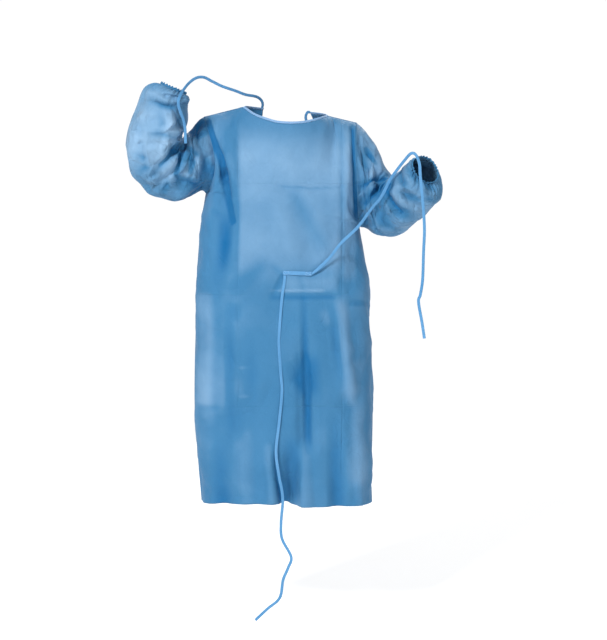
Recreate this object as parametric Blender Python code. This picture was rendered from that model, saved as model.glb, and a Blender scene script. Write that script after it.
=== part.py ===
"""Disposable isolation gown, worn pose, open back, elastic cuffs, neck ties and a waist belt.

Metres, +Z up, the front of the gown faces -Y. The origin is at the height of the neck, midway
between the shoulders. Right and left are the wearer's: the right sleeve is on the -X side.
"""
import math
from collections import namedtuple

import bpy
import numpy as np

# Cloth and seams
CLOTH = 0.0012          # thickness of the rigid wall that stands for the cloth
SEAM_GAP = 0.0003       # between two pieces that a seam joins
SEAM_PULL = 0.00025     # each sewn edge is drawn back by this much
BINDING_WIDTH = 0.007
BINDING_PROUD = 0.0004  # the folded binding stands out from the cloth on both sides
BINDING_SMOOTHING = 2
TIE_WIDTH = 0.011
TIE_THICKNESS = 0.0010
BELT_WIDTH = 0.012
CUFF_LENGTH = 0.008
CUFF_GATHERS = 12
CUFF_GATHER_DEPTH = 0.0014

# Grid of the body: rows from hem to armpit and armpit to shoulder, columns along each edge
ROWS_SKIRT = 13
ROWS_ARMHOLE = 10
ROWS_LEVEL = 3          # rows above the armpit that are still level sections
COLUMNS_SHOULDER = 8
COLUMNS_NECK_FRONT = 24
COLUMNS_NECK_BACK = 6
SLEEVE_STEPS_PER_SECTION = 2
CUFF_POINTS = 48
CUFF_RINGS = 3
CUFF_AIM_STEPS = 12        # sleeve rings back from the wrist that tell which way the forearm points
BACK_RING_POINTS = 600     # fine points of a back level section before it is cut at the open edge

# Squareness of the level sections: 2 is an ellipse, more is nearer a box
FRONT_SQUARENESS = 2.9
BACK_SQUARENESS = 2.3

# Level sections of the body, from hem to armpit
Level = namedtuple("Level", "height right left front back")
LEVELS = [
    Level(-1.150, -0.257, 0.246, -0.140, 0.150),
    Level(-1.040, -0.265, 0.247, -0.140, 0.146),
    Level(-0.950, -0.271, 0.249, -0.139, 0.142),
    Level(-0.860, -0.276, 0.250, -0.138, 0.139),
    Level(-0.760, -0.275, 0.244, -0.137, 0.136),
    Level(-0.640, -0.271, 0.239, -0.136, 0.133),
    Level(-0.520, -0.267, 0.236, -0.135, 0.131),
    Level(-0.435, -0.264, 0.229, -0.133, 0.130),
    Level(-0.360, -0.257, 0.214, -0.130, 0.130),
    Level(-0.300, -0.249, 0.206, -0.127, 0.129),
    Level(-0.200, -0.232, 0.204, -0.122, 0.126),
]
HEM_SIDE = -1.150
HEM_FRONT_RIGHT = 0.020     # how far the front hem is lifted above the side, wearer's right half
HEM_FRONT_LEFT = 0.010
SIDE_SEAM_Y = 0.0

# Corners of the cut
ARMPIT_RIGHT = (-0.239, 0.000, -0.241)
ARMPIT_LEFT = (0.208, 0.000, -0.338)
SHOULDER_RIGHT = (-0.244, 0.005, -0.019)
SHOULDER_LEFT = (0.200, 0.005, -0.036)
NECK_RIGHT = (-0.131, 0.002, 0.009)
NECK_LEFT = (0.120, 0.002, -0.017)
BACK_CORNER_RIGHT = (-0.074, 0.068, 0.004)
BACK_CORNER_LEFT = (0.067, 0.068, -0.007)
BACK_EDGE_RIGHT_HEM = -0.052
BACK_EDGE_LEFT_HEM = 0.048

# Points between the corners
ARMHOLE_RIGHT_FRONT = [(-0.224, -0.040, -0.221), (-0.209, -0.066, -0.170),
                       (-0.214, -0.068, -0.112), (-0.231, -0.044, -0.055)]
ARMHOLE_RIGHT_BACK = [(-0.224, 0.042, -0.219), (-0.208, 0.068, -0.168),
                      (-0.210, 0.073, -0.108), (-0.228, 0.052, -0.052)]
ARMHOLE_LEFT_FRONT = [(0.203, -0.045, -0.302), (0.199, -0.075, -0.232), (0.196, -0.084, -0.160),
                      (0.194, -0.075, -0.098), (0.196, -0.043, -0.055)]
ARMHOLE_LEFT_BACK = [(0.202, 0.044, -0.300), (0.194, 0.070, -0.225), (0.190, 0.076, -0.150),
                     (0.191, 0.068, -0.090), (0.196, 0.042, -0.050)]
NECKLINE_FRONT = [(-0.107, -0.034, -0.010), (-0.087, -0.055, -0.021), (-0.058, -0.076, -0.032),
                  (-0.030, -0.089, -0.040), (0.007, -0.095, -0.043), (0.044, -0.089, -0.041),
                  (0.073, -0.076, -0.035), (0.098, -0.053, -0.027)]
NECKLINE_BACK_RIGHT = [(-0.112, 0.042, 0.008)]
NECKLINE_BACK_LEFT = [(0.103, 0.042, -0.012)]

# Slope, in degrees, at which the cloth arrives at the top edge
SLOPE_AT_SHOULDER = 20
SLOPE_AT_NECK_FRONT = 68
SLOPE_AT_NECK_BACK = 55
RISE_LENGTH = 0.19
CORNER_SMOOTHING = 6    # passes that round the cloth's way at the corner by the neck
ARMHOLE_REACH = 0.40    # share of a panel's width over which the armhole's own shape fades out

# Sections of the sleeves, from the armhole to the wrist: the point at the inner bend of the elbow
# side, the point opposite it, and half the depth across both
Section = namedtuple("Section", "inner_x inner_y inner_z outer_x outer_y outer_z half_depth")
SLEEVE_RIGHT = [
    Section(-0.263, -0.006, -0.034, -0.252, -0.006, -0.236, 0.084),
    Section(-0.279, -0.016, -0.049, -0.268, -0.016, -0.244, 0.085),
    Section(-0.288, -0.028, -0.063, -0.292, -0.030, -0.252, 0.084),
    Section(-0.293, -0.042, -0.074, -0.326, -0.046, -0.259, 0.081),
    Section(-0.296, -0.054, -0.082, -0.363, -0.060, -0.252, 0.078),
    Section(-0.299, -0.065, -0.087, -0.399, -0.074, -0.243, 0.076),
    Section(-0.302, -0.075, -0.088, -0.425, -0.086, -0.216, 0.075),
    Section(-0.303, -0.083, -0.085, -0.444, -0.096, -0.191, 0.074),
    Section(-0.301, -0.090, -0.080, -0.449, -0.104, -0.158, 0.073),
    Section(-0.297, -0.096, -0.074, -0.450, -0.110, -0.121, 0.073),
    Section(-0.291, -0.100, -0.062, -0.450, -0.114, -0.081, 0.073),
    Section(-0.285, -0.105, -0.036, -0.442, -0.117, -0.036, 0.072),
    Section(-0.284, -0.110, -0.005, -0.433, -0.119, -0.005, 0.070),
    Section(-0.282, -0.115, 0.013, -0.422, -0.120, 0.025, 0.066),
    Section(-0.280, -0.118, 0.025, -0.407, -0.120, 0.051, 0.059),
    Section(-0.280, -0.120, 0.030, -0.390, -0.120, 0.065, 0.050),
    Section(-0.283, -0.120, 0.033, -0.372, -0.120, 0.069, 0.041),
    Section(-0.287, -0.120, 0.035, -0.359, -0.120, 0.066, 0.034),
]
SLEEVE_LEFT = [
    Section(0.222, -0.002, -0.060, 0.222, -0.002, -0.338, 0.080),
    Section(0.243, -0.008, -0.094, 0.234, -0.008, -0.346, 0.080),
    Section(0.260, -0.018, -0.126, 0.247, -0.018, -0.355, 0.080),
    Section(0.272, -0.036, -0.156, 0.263, -0.036, -0.360, 0.078),
    Section(0.282, -0.049, -0.177, 0.279, -0.049, -0.365, 0.076),
    Section(0.290, -0.062, -0.192, 0.293, -0.062, -0.365, 0.074),
    Section(0.296, -0.077, -0.200, 0.306, -0.077, -0.362, 0.073),
    Section(0.300, -0.094, -0.198, 0.323, -0.094, -0.348, 0.072),
    Section(0.307, -0.114, -0.187, 0.346, -0.114, -0.329, 0.071),
    Section(0.318, -0.136, -0.173, 0.370, -0.136, -0.310, 0.069),
    Section(0.328, -0.158, -0.164, 0.395, -0.158, -0.288, 0.066),
    Section(0.338, -0.178, -0.156, 0.415, -0.178, -0.272, 0.061),
    Section(0.344, -0.193, -0.150, 0.427, -0.193, -0.254, 0.053),
    Section(0.347, -0.203, -0.146, 0.425, -0.203, -0.226, 0.043),
    Section(0.352, -0.210, -0.146, 0.412, -0.210, -0.206, 0.034),
]
ARMHOLE_TURN = 6.0      # sections over which they turn from the armhole's own way to the sleeve's
SECTION_SMOOTHING = 10  # passes that even out how the sections turn from one to the next
ARMHOLE_FADE = 3.0      # sections over which the armhole's own shape fades into the sleeve's

# Folds as soft troughs, or ridges where the depth is negative. On the body the two places are x
# and height, on a sleeve the section number and the degrees round from the outer point by the front
Fold = namedtuple("Fold", "from_a from_b to_a to_b half_width from_depth to_depth")
FOLDS_FRONT = [
    Fold(-0.216, -0.065, -0.190, -0.190, 0.030, 0.008, 0.017),
    Fold(-0.190, -0.190, -0.178, -0.320, 0.030, 0.017, 0.005),
    Fold(-0.186, -0.330, -0.200, -0.470, 0.040, 0.006, 0.002),
    Fold(0.188, -0.070, 0.190, -0.290, 0.026, 0.008, 0.014),
    Fold(0.010, -0.220, 0.075, -0.420, 0.055, 0.004, 0.009),
    Fold(0.140, -0.540, 0.175, -0.780, 0.045, -0.006, -0.012),
    Fold(0.052, -0.680, 0.052, -0.960, 0.040, 0.006, 0.018),
    Fold(0.010, -0.950, 0.008, -1.200, 0.040, 0.004, 0.070),
    Fold(-0.055, -0.900, -0.050, -1.200, 0.050, -0.002, -0.016),
    Fold(-0.190, -0.700, -0.185, -1.200, 0.040, 0.003, 0.010),
    Fold(0.120, -0.900, 0.150, -1.200, 0.045, 0.002, 0.012),
]
FOLDS_BACK = [
    Fold(-0.190, -0.080, -0.150, -0.330, 0.035, 0.006, 0.014),
    Fold(0.165, -0.090, 0.150, -0.360, 0.035, 0.006, 0.012),
    Fold(-0.150, -0.520, -0.170, -1.200, 0.050, 0.004, 0.022),
    Fold(-0.095, -0.750, -0.090, -1.200, 0.035, -0.002, -0.012),
    Fold(0.130, -0.480, 0.150, -1.200, 0.050, 0.004, 0.018),
    Fold(0.205, -0.800, 0.200, -1.200, 0.040, -0.002, -0.012),
]
FOLDS_SLEEVE_RIGHT = [
    Fold(4.6, 40, 5.0, 138, 0.017, 0.004, 0.011),
    Fold(6.6, 30, 6.4, 138, 0.016, 0.004, 0.010),
    Fold(8.6, 45, 8.2, 138, 0.016, 0.003, 0.008),
    Fold(10.6, 60, 10.2, 165, 0.015, 0.004, 0.008),
    Fold(2.4, 70, 3.0, 140, 0.018, 0.006, 0.010),
    Fold(15.3, 40, 15.0, 150, 0.012, 0.005, 0.007),
    Fold(5.2, 210, 4.8, 320, 0.018, 0.012, 0.004),
    Fold(7.6, 205, 7.8, 310, 0.018, 0.012, 0.004),
    Fold(10.2, 200, 10.4, 300, 0.018, 0.008, 0.004),
    Fold(14.8, 210, 15.2, 320, 0.012, 0.006, 0.004),
]
FOLDS_SLEEVE_LEFT = [
    Fold(1.6, 60, 3.0, 130, 0.022, 0.004, 0.010),
    Fold(4.2, 80, 4.8, 160, 0.018, 0.006, 0.012),
    Fold(5.9, 40, 6.4, 155, 0.016, 0.004, 0.013),
    Fold(7.6, 30, 7.8, 150, 0.015, 0.008, 0.010),
    Fold(9.6, 60, 9.4, 160, 0.015, 0.006, 0.007),
    Fold(11.4, 40, 11.4, 150, 0.013, 0.005, 0.006),
    Fold(3.4, 210, 3.0, 310, 0.022, 0.010, 0.004),
    Fold(6.2, 205, 6.0, 320, 0.018, 0.012, 0.004),
    Fold(9.0, 210, 9.2, 320, 0.016, 0.008, 0.004),
]
EDGE_TAPER_STEPS = 4    # columns or rings over which folds fade out towards a seam
SECTION_STEP = 0.024    # metres that one section number stands for in a fold's half width
DEGREE_STEP = 0.0014    # metres that one degree round a sleeve stands for there

# The sewn stretch of the belt, as x and height on the front
BELT_FROM = (-0.013, -0.465)
BELT_TO = (0.069, -0.468)
BELT_STEPS = 10
BELT_OFFSET = 0.0005
BELT_LOOK_AROUND = (-0.005, 0.0, 0.005)

# Routes of the ties, by hand: x, y, height, and the way the flat side faces in degrees from the
# front towards the wearer's left
NECK_TIE_RIGHT = [
    (-0.0762, 0.06158, 0.01056, 208), (-0.0745, 0.0577, 0.019, 206), (-0.076, 0.0525, 0.0275, 203),
    (-0.0815, 0.0455, 0.035, 198), (-0.0895, 0.036, 0.040, 192), (-0.100, 0.024, 0.0425, 186),
    (-0.124, 0.002, 0.0455, 180), (-0.152, -0.020, 0.055, 180), (-0.188, -0.045, 0.066, 180),
    (-0.216, -0.062, 0.079, 180), (-0.238, -0.078, 0.089, 180), (-0.258, -0.098, 0.086, 190),
    (-0.276, -0.122, 0.071, 205), (-0.289, -0.146, 0.052, 212), (-0.299, -0.163, 0.032, 208),
    (-0.304, -0.170, 0.012, 200), (-0.299, -0.163, -0.012, 200), (-0.291, -0.155, -0.034, 205),
    (-0.287, -0.150, -0.060, 205), (-0.286, -0.148, -0.100, 205),
]
NECK_TIE_LEFT = [
    (0.06542, 0.0652, -0.00237, 146), (0.0575, 0.0705, -0.0025, 152), (0.0525, 0.0775, -0.0125, 162),
    (0.0535, 0.0825, -0.025, 172), (0.0605, 0.0885, -0.040, 178), (0.069, 0.095, -0.060, 180),
    (0.0765, 0.103, -0.085, 180), (0.080, 0.1105, -0.120, 180), (0.0805, 0.120, -0.170, 180),
    (0.079, 0.1258, -0.250, 180), (0.076, 0.1248, -0.330, 180), (0.073, 0.1266, -0.400, 180),
    (0.074, 0.1272, -0.460, 180),
]
BELT_TIE_RIGHT = [
    (-0.0074, -0.1348, -0.47153, 0), (-0.0078, -0.1355, -0.483, 0), (-0.010, -0.1364, -0.500, 0),
    (-0.016, -0.1373, -0.539, 0), (-0.024, -0.1382, -0.642, 0), (-0.024, -0.1386, -0.685, 0),
    (-0.019, -0.1392, -0.757, 0), (-0.016, -0.1398, -0.809, 0), (-0.025, -0.142, -0.901, 0),
    (-0.033, -0.1462, -0.978, 0), (-0.025, -0.147, -1.045, 4), (-0.014, -0.148, -1.111, 8),
    (-0.019, -0.150, -1.184, 5), (-0.016, -0.152, -1.230, 0), (0.010, -0.155, -1.282, -10),
    (0.001, -0.158, -1.314, -12), (-0.013, -0.160, -1.348, -6), (-0.023, -0.163, -1.400, 0),
    (-0.059, -0.166, -1.432, 4), (-0.093, -0.168, -1.464, 6),
]
BELT_TIE_LEFT = [
    (0.0693, -0.1301, -0.468, 0), (0.087, -0.134, -0.454, 0), (0.121, -0.142, -0.420, 0),
    (0.152, -0.150, -0.380, 0), (0.199, -0.161, -0.334, 0), (0.238, -0.172, -0.281, 0),
    (0.263, -0.180, -0.250, 0), (0.287, -0.188, -0.203, 0), (0.306, -0.195, -0.175, 0),
    (0.325, -0.203, -0.150, 5), (0.343, -0.213, -0.130, 12), (0.356, -0.226, -0.134, 18),
    (0.365, -0.240, -0.159, 16), (0.367, -0.250, -0.195, 8), (0.374, -0.252, -0.263, 0),
    (0.379, -0.252, -0.336, 0), (0.377, -0.252, -0.401, 0), (0.375, -0.252, -0.476, 0),
    (0.369, -0.252, -0.519, 0), (0.364, -0.252, -0.539, 0), (0.374, -0.252, -0.596, 0),
    (0.381, -0.252, -0.641, 0),
]
NECK_TIE_STEPS = 30
BELT_TIE_STEPS = 50

# How the sewn end of each tie lies against its piece: the way across the tie, and the way it faces
TieEnd = namedtuple("TieEnd", "across face")
NECK_TIE_RIGHT_END = TieEnd((-0.839, -0.539, 0.075), (-0.403, 0.754, 0.518))
NECK_TIE_LEFT_END = TieEnd((0.178, 0.456, -0.872), (0.519, 0.710, 0.477))
BELT_TIE_RIGHT_END = TieEnd((-1.0, 0.0, 0.037), (0.0, -1.0, 0.0))
BELT_TIE_LEFT_END = TieEnd((0.0, 0.0, -1.0), (0.0, -1.0, 0.0))

# Colours from the photograph, linear
CLOTH_BLUE = (0.115, 0.330, 0.660)
TRIM_BLUE = (0.330, 0.560, 0.800)


def unit(vectors):
    """Each vector at length one."""
    vectors = np.asarray(vectors, dtype=float)
    lengths = np.linalg.norm(vectors, axis=-1, keepdims=True)
    return vectors / np.maximum(lengths, 1e-12)


def smooth_curve(points, count):
    """A curve through the points, given back as count + 1 points at even distances."""
    points = np.asarray(points, dtype=float)
    before = 2 * points[0] - points[1]
    after = 2 * points[-1] - points[-2]
    framed = np.vstack([before, points, after])
    steps = np.linspace(0.0, 1.0, 24, endpoint=False)[:, None]
    fine = []
    for index in range(1, len(framed) - 2):
        p0, p1, p2, p3 = framed[index - 1:index + 3]
        fine.append(0.5 * (2 * p1 + (p2 - p0) * steps
                           + (2 * p0 - 5 * p1 + 4 * p2 - p3) * steps ** 2
                           + (3 * p1 - p0 - 3 * p2 + p3) * steps ** 3))
    fine = np.vstack(fine + [points[-1:]])
    return spread(fine, count)


def spread(fine, count):
    """A fine line sampled again as count + 1 points at even distances."""
    lengths = np.linalg.norm(np.diff(fine[:, :3], axis=0), axis=1)
    along = np.concatenate([[0.0], np.cumsum(lengths)])
    wanted = np.linspace(0.0, along[-1], count + 1)
    return np.stack([np.interp(wanted, along, fine[:, axis]) for axis in range(fine.shape[1])], axis=1)


def level_at(height):
    """The body's level section at a height, between the rows of the table."""
    heights = [level.height for level in LEVELS]
    return Level(height, *[np.interp(height, heights, [level[item] for level in LEVELS])
                           for item in range(1, 5)])


def fold_depth(places, folds):
    """How far in each place lies, added up over all folds."""
    depth = np.zeros(places.shape[:-1])
    for fold in folds:
        start = np.array([fold.from_a, fold.from_b])
        run = np.array([fold.to_a, fold.to_b]) - start
        share = np.clip(((places - start) @ run) / (run @ run), 0.0, 1.0)
        away = np.linalg.norm(places - start - share[..., None] * run, axis=-1)
        across = np.cos(np.clip(away / fold.half_width, 0.0, 1.0) * math.pi / 2) ** 2
        depth += across * (fold.from_depth + share * (fold.to_depth - fold.from_depth))
    return depth


def grid_normals(grid, closed=False):
    """Unit normals of a grid of points, as the cross product of its two directions."""
    if closed:
        across = np.roll(grid, -1, axis=1) - np.roll(grid, 1, axis=1)
    else:
        across = np.gradient(grid, axis=1)
    return unit(np.cross(across, np.gradient(grid, axis=0)))


def side_seam(armpit, side):
    """Points of one side seam from the hem up to the armpit."""
    heights = np.linspace(HEM_SIDE, armpit[2], ROWS_SKIRT + 1)
    at_armpit = getattr(level_at(armpit[2]), side)
    seam = []
    for height in heights:
        share = (height - HEM_SIDE) / (armpit[2] - HEM_SIDE)
        x = getattr(level_at(height), side) + (armpit[0] - at_armpit) * share ** 3
        seam.append((x, SIDE_SEAM_Y + share * (armpit[1] - SIDE_SEAM_Y), height))
    return np.array(seam)


def edge_with_armhole(armpit, armhole, shoulder, side):
    """One outer edge of a panel: the side seam, then its half of the armhole."""
    above = smooth_curve([armpit, *armhole, shoulder], ROWS_ARMHOLE)
    return np.vstack([side_seam(armpit, side), above[1:]])


def half_ring(start, end, depth, squareness, count):
    """A level section from one side seam to the other, round the front or the back."""
    angle = np.linspace(0.0, math.pi, 400)
    across = -np.sign(np.cos(angle)) * np.abs(np.cos(angle)) ** (2 / squareness)
    out = np.sin(angle) ** (2 / squareness)
    share = (across[:, None] + 1) / 2
    fine = start + (end - start) * share
    fine[:, 1] = fine[:, 1] * (1 - out) + depth * out
    return spread(fine, count)


def level_rows(starts, ends, row_of):
    """Level rows from the hem upwards, each made by row_of from its two side points."""
    return [row_of(start, end, (start[2] + end[2]) / 2) for start, end in zip(starts, ends)]


def upper_rows(levels, top, turn, neck_y, neck_slope, edges):
    """Rows above the armpit's up to the top edge. The first are the given level rows. From there
    the columns rise and arrive square to the top edge, sloped as the cloth lies there. turn is 1
    or -1, for the side of the edge that the panel is on. The outer columns follow the armholes,
    given as their points, their column and each column's share of the width away from it."""
    ring = levels[ROWS_LEVEL]
    along = unit(np.gradient(top[:, :2], axis=0))
    level = turn * np.stack([-along[:, 1], along[:, 0]], axis=1)
    for _ in range(CORNER_SMOOTHING):
        level[1:-1] = unit(level[:-2] + 2 * level[1:-1] + level[2:])
    near_neck = np.clip((top[:, 1] - top[0, 1]) / (neck_y - top[0, 1]), 0.0, 1.0)
    slope = np.radians(SLOPE_AT_SHOULDER + (neck_slope - SLOPE_AT_SHOULDER) * near_neck)
    arrive = RISE_LENGTH * np.stack([level[:, 0] * np.cos(slope), level[:, 1] * np.cos(slope),
                                     np.sin(slope)], axis=1)
    leave = RISE_LENGTH * np.array([0.0, 0.0, 1.0])
    rows = []
    for t in np.linspace(0.0, 1.0, ROWS_ARMHOLE - ROWS_LEVEL + 1)[1:]:
        rows.append(ring * (2 * t ** 3 - 3 * t ** 2 + 1) + leave * (t ** 3 - 2 * t ** 2 + t)
                    + top * (3 * t ** 2 - 2 * t ** 3) + arrive * (t ** 3 - t ** 2))
    rows = np.array(rows)
    for edge, column, away in edges:
        fade = np.clip(1 - away / ARMHOLE_REACH, 0.0, 1.0) ** 2
        rows = rows + fade[:, None] * (edge[ROWS_LEVEL:] - rows[:, column])[:, None]
    return levels[1:ROWS_LEVEL + 1] + list(rows)


def front_grid():
    """The front panel's outer face before its folds."""
    right = edge_with_armhole(ARMPIT_RIGHT, ARMHOLE_RIGHT_FRONT, SHOULDER_RIGHT, "right")
    left = edge_with_armhole(ARMPIT_LEFT, ARMHOLE_LEFT_FRONT, SHOULDER_LEFT, "left")
    top = np.vstack([
        smooth_curve([SHOULDER_RIGHT, NECK_RIGHT], COLUMNS_SHOULDER)[:-1],
        smooth_curve([NECK_RIGHT, *NECKLINE_FRONT, NECK_LEFT], COLUMNS_NECK_FRONT),
        smooth_curve([NECK_LEFT, SHOULDER_LEFT], COLUMNS_SHOULDER)[1:]])
    columns = len(top) - 1

    def row_of(start, end, height):
        row = half_ring(start, end, level_at(height).front, FRONT_SQUARENESS, columns)
        climb = (start[2] - HEM_SIDE) / (ARMPIT_RIGHT[2] - HEM_SIDE)
        row[:, 2] += hem_lift(row[:, 0]) * max(0.0, 1 - climb) ** 2
        return row

    levels = level_rows(right, left, row_of)
    share = np.linspace(0.0, 1.0, columns + 1)
    edges = [(right[ROWS_SKIRT + 1:], 0, share), (left[ROWS_SKIRT + 1:], -1, 1 - share)]
    neck_y = min(point[1] for point in NECKLINE_FRONT)
    return np.array(levels[:ROWS_SKIRT + 1]
                    + upper_rows(levels[ROWS_SKIRT:], top, 1, neck_y, SLOPE_AT_NECK_FRONT, edges))


def hem_lift(x):
    """How far the front hem is lifted at x, nothing at the side seams."""
    lift = np.where(x < 0, HEM_FRONT_RIGHT, HEM_FRONT_LEFT)
    return lift * np.cos(np.clip(x / 0.26, -1.0, 1.0) * math.pi / 2) ** 0.5


def back_grid(side):
    """One back panel's outer face before its folds, from the side seam to the open edge."""
    right = edge_with_armhole(ARMPIT_RIGHT, ARMHOLE_RIGHT_BACK, SHOULDER_RIGHT, "right")
    left = edge_with_armhole(ARMPIT_LEFT, ARMHOLE_LEFT_BACK, SHOULDER_LEFT, "left")
    if side == "right":
        edge, other = right, left
        neckline = [NECK_RIGHT, *NECKLINE_BACK_RIGHT, BACK_CORNER_RIGHT]
        shoulder, hem_x = SHOULDER_RIGHT, BACK_EDGE_RIGHT_HEM
    else:
        edge, other = left, right
        neckline = [NECK_LEFT, *NECKLINE_BACK_LEFT, BACK_CORNER_LEFT]
        shoulder, hem_x = SHOULDER_LEFT, BACK_EDGE_LEFT_HEM
    corner = neckline[-1]
    top = np.vstack([smooth_curve([shoulder, neckline[0]], COLUMNS_SHOULDER)[:-1],
                     smooth_curve(neckline, COLUMNS_NECK_BACK)])
    columns = len(top) - 1

    def row_of(start, end, height):
        climb = (height - HEM_SIDE) / (corner[2] - HEM_SIDE)
        edge_x = hem_x + (corner[0] - hem_x) * climb
        ring = half_ring(start, end, level_at(height).back, BACK_SQUARENESS, BACK_RING_POINTS)
        kept = ring[np.abs(ring[:, 0] - start[0]) <= abs(edge_x - start[0])]
        return spread(kept, columns)

    levels = level_rows(edge, other, row_of)
    share = np.linspace(0.0, 1.0, columns + 1)
    turn = -1 if side == "right" else 1
    return np.array(levels[:ROWS_SKIRT + 1]
                    + upper_rows(levels[ROWS_SKIRT:], top, turn, corner[1], SLOPE_AT_NECK_BACK,
                                 [(edge[ROWS_SKIRT + 1:], 0, share)]))


def edge_taper(count, start=True, end=True):
    """Weights that rise from nothing at an edge that a seam holds to one, over a few steps."""
    away = np.full(count, float(EDGE_TAPER_STEPS))
    if start:
        away = np.minimum(away, np.arange(count))
    if end:
        away = np.minimum(away, np.arange(count)[::-1])
    share = away / EDGE_TAPER_STEPS
    return share ** 2 * (3 - 2 * share)


def folded(grid, folds, inward, both_sides):
    """A body panel pushed in along its folds. Seam edges stay where they are."""
    depth = fold_depth(grid[..., [0, 2]], folds)
    depth *= edge_taper(grid.shape[1], end=both_sides)
    depth *= edge_taper(grid.shape[0], start=False)[:, None]
    return grid + inward * depth[..., None]


def section_values(sections, number):
    """The sleeve's section at a number between the rows of its table."""
    table = np.array(sections)
    low = int(np.clip(math.floor(number), 0, len(table) - 2))
    t = number - low
    p1, p2 = table[low], table[low + 1]
    p0 = table[low - 1] if low > 0 else 2 * p1 - p2
    p3 = table[low + 2] if low + 2 < len(table) else 2 * p2 - p1
    return 0.5 * (2 * p1 + (p2 - p0) * t + (2 * p0 - 5 * p1 + 4 * p2 - p3) * t ** 2
                  + (3 * p1 - p0 - 3 * p2 + p3) * t ** 3)


def sleeve_grid(armhole, sections, folds):
    """A sleeve's outer face: rings from the armhole to the wrist, each from the outer point by the
    front to the inner point and round the back."""
    count = len(armhole)
    half = count // 2
    inner, outer = armhole[half], armhole[0]
    half_depth = abs(armhole[half // 2][1] - armhole[half + half // 2][1]) / 2
    sections = [Section(*inner, *outer, half_depth)] + list(sections)
    numbers = np.linspace(0.0, len(sections) - 1, SLEEVE_STEPS_PER_SECTION * (len(sections) - 1) + 1)
    values = np.array([section_values(sections, number) for number in numbers])
    middles = (values[:, 0:3] + values[:, 3:6]) / 2
    ways = unit(np.gradient(middles, axis=0))
    angles = np.linspace(0.0, 2 * math.pi, count, endpoint=False)
    reaches = (values[:, 3:6] - values[:, 0:3]) / 2
    depths = unit(np.cross(ways, reaches))
    depths = np.where(depths[:, 1:2] > 0, -depths, depths)
    held = np.clip(1 - numbers / ARMHOLE_TURN, 0.0, 1.0)[:, None]
    depths = unit(depths * (1 - held) + unit(armhole[half // 2] - armhole[half + half // 2]) * held)
    for _ in range(SECTION_SMOOTHING):
        depths[1:-1] = unit(depths[:-2] + 2 * depths[1:-1] + depths[2:])
    rings = []
    for value, middle, reach, depth in zip(values, middles, reaches, depths):
        rings.append(middle + np.cos(angles)[:, None] * reach
                     + np.sin(angles)[:, None] * depth * value[6])
    rings = np.array(rings)
    fade = np.clip(1 - numbers / ARMHOLE_FADE, 0.0, 1.0) ** 2
    rings = rings + fade[:, None, None] * (armhole - rings[0])
    degrees = np.degrees(angles)
    places = np.stack(np.meshgrid(numbers * SECTION_STEP, degrees * DEGREE_STEP, indexing="ij"), axis=-1)
    scaled = [fold._replace(from_a=fold.from_a * SECTION_STEP, to_a=fold.to_a * SECTION_STEP,
                            from_b=fold.from_b * DEGREE_STEP, to_b=fold.to_b * DEGREE_STEP)
              for fold in folds]
    depth = fold_depth(places, scaled) * edge_taper(len(rings))[:, None]
    inward = unit(rings.mean(axis=1, keepdims=True) - rings)
    return rings + inward * depth[..., None]


def cuff_grid(sleeve):
    """The elastic hem that goes on square to the sleeve's last ring, gathered in small waves."""
    last = sleeve[-1]
    middle = last.mean(axis=0)
    way = unit(np.cross(last[0] - middle, last[len(last) // 4] - middle))
    if way @ (middle - sleeve[-CUFF_AIM_STEPS].mean(axis=0)) < 0:
        way = -way
    spokes = spread(np.vstack([last, last[:1]]), CUFF_POINTS)[:-1] - middle
    angles = np.linspace(0.0, 2 * math.pi, CUFF_POINTS, endpoint=False)
    rings = []
    for share in np.linspace(0.0, 1.0, CUFF_RINGS):
        wave = CUFF_GATHER_DEPTH * np.cos(CUFF_GATHERS * angles) * share
        ring = middle + spokes + unit(spokes) * wave[:, None]
        rings.append(ring + way * (SEAM_GAP + CUFF_LENGTH * share))
    return np.array(rings)


def pulled(grid, left=False, right=False, top=False, bottom=False):
    """A panel with its sewn edges drawn back, square to each edge."""
    grid = grid.copy()
    source = grid.copy()

    def draw(edge, inside):
        along = unit(np.gradient(source[edge], axis=0))
        into = source[inside] - source[edge]
        into = unit(into - np.sum(into * along, axis=1, keepdims=True) * along)
        grid[edge] += SEAM_PULL * into

    if left:
        draw(np.s_[:, 0], np.s_[:, 1])
    if right:
        draw(np.s_[:, -1], np.s_[:, -2])
    if top:
        draw(np.s_[-1], np.s_[-2])
    if bottom:
        draw(np.s_[0], np.s_[1])
    return grid


def shared_inward(grids):
    """Inward directions for several grids. Where grids meet at a seam, they share one direction."""
    total = {}
    for grid, inward in grids:
        for point, way in zip(grid.reshape(-1, 3), inward.reshape(-1, 3)):
            key = tuple(np.round(point, 6))
            total[key] = total.get(key, 0) + way
    result = []
    for grid, inward in grids:
        ways = [unit(total[tuple(np.round(point, 6))]) for point in grid.reshape(-1, 3)]
        result.append(np.array(ways).reshape(grid.shape))
    return result


def wall_mesh(outer, inward, thickness, closed=False):
    """Points and triangles of a wall with the given outer face."""
    rows, columns = outer.shape[:2]
    inner = outer + inward * thickness
    points = np.vstack([outer.reshape(-1, 3), inner.reshape(-1, 3)])
    under = rows * columns

    def at(row, column):
        return row * columns + column % columns

    faces = []
    spans = columns if closed else columns - 1
    for row in range(rows - 1):
        for column in range(spans):
            a, b = at(row, column), at(row, column + 1)
            c, d = at(row + 1, column + 1), at(row + 1, column)
            for face in ((a, b, c), (a, c, d)):
                faces.append(face)
                faces.append(tuple(corner + under for corner in reversed(face)))
    edges = [[at(0, column) for column in range(columns)], [at(rows - 1, column) for column in range(columns)]]
    if closed:
        for edge in edges:
            edge.append(edge[0])
    else:
        edges.append([at(row, 0) for row in range(rows)])
        edges.append([at(row, columns - 1) for row in range(rows)])
    for edge, turned in zip(edges, (True, False, False, True)):
        for a, b in zip(edge, edge[1:]):
            if turned:
                a, b = b, a
            faces.append((a, b, b + under))
            faces.append((a, b + under, a + under))
    return points, faces


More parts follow.
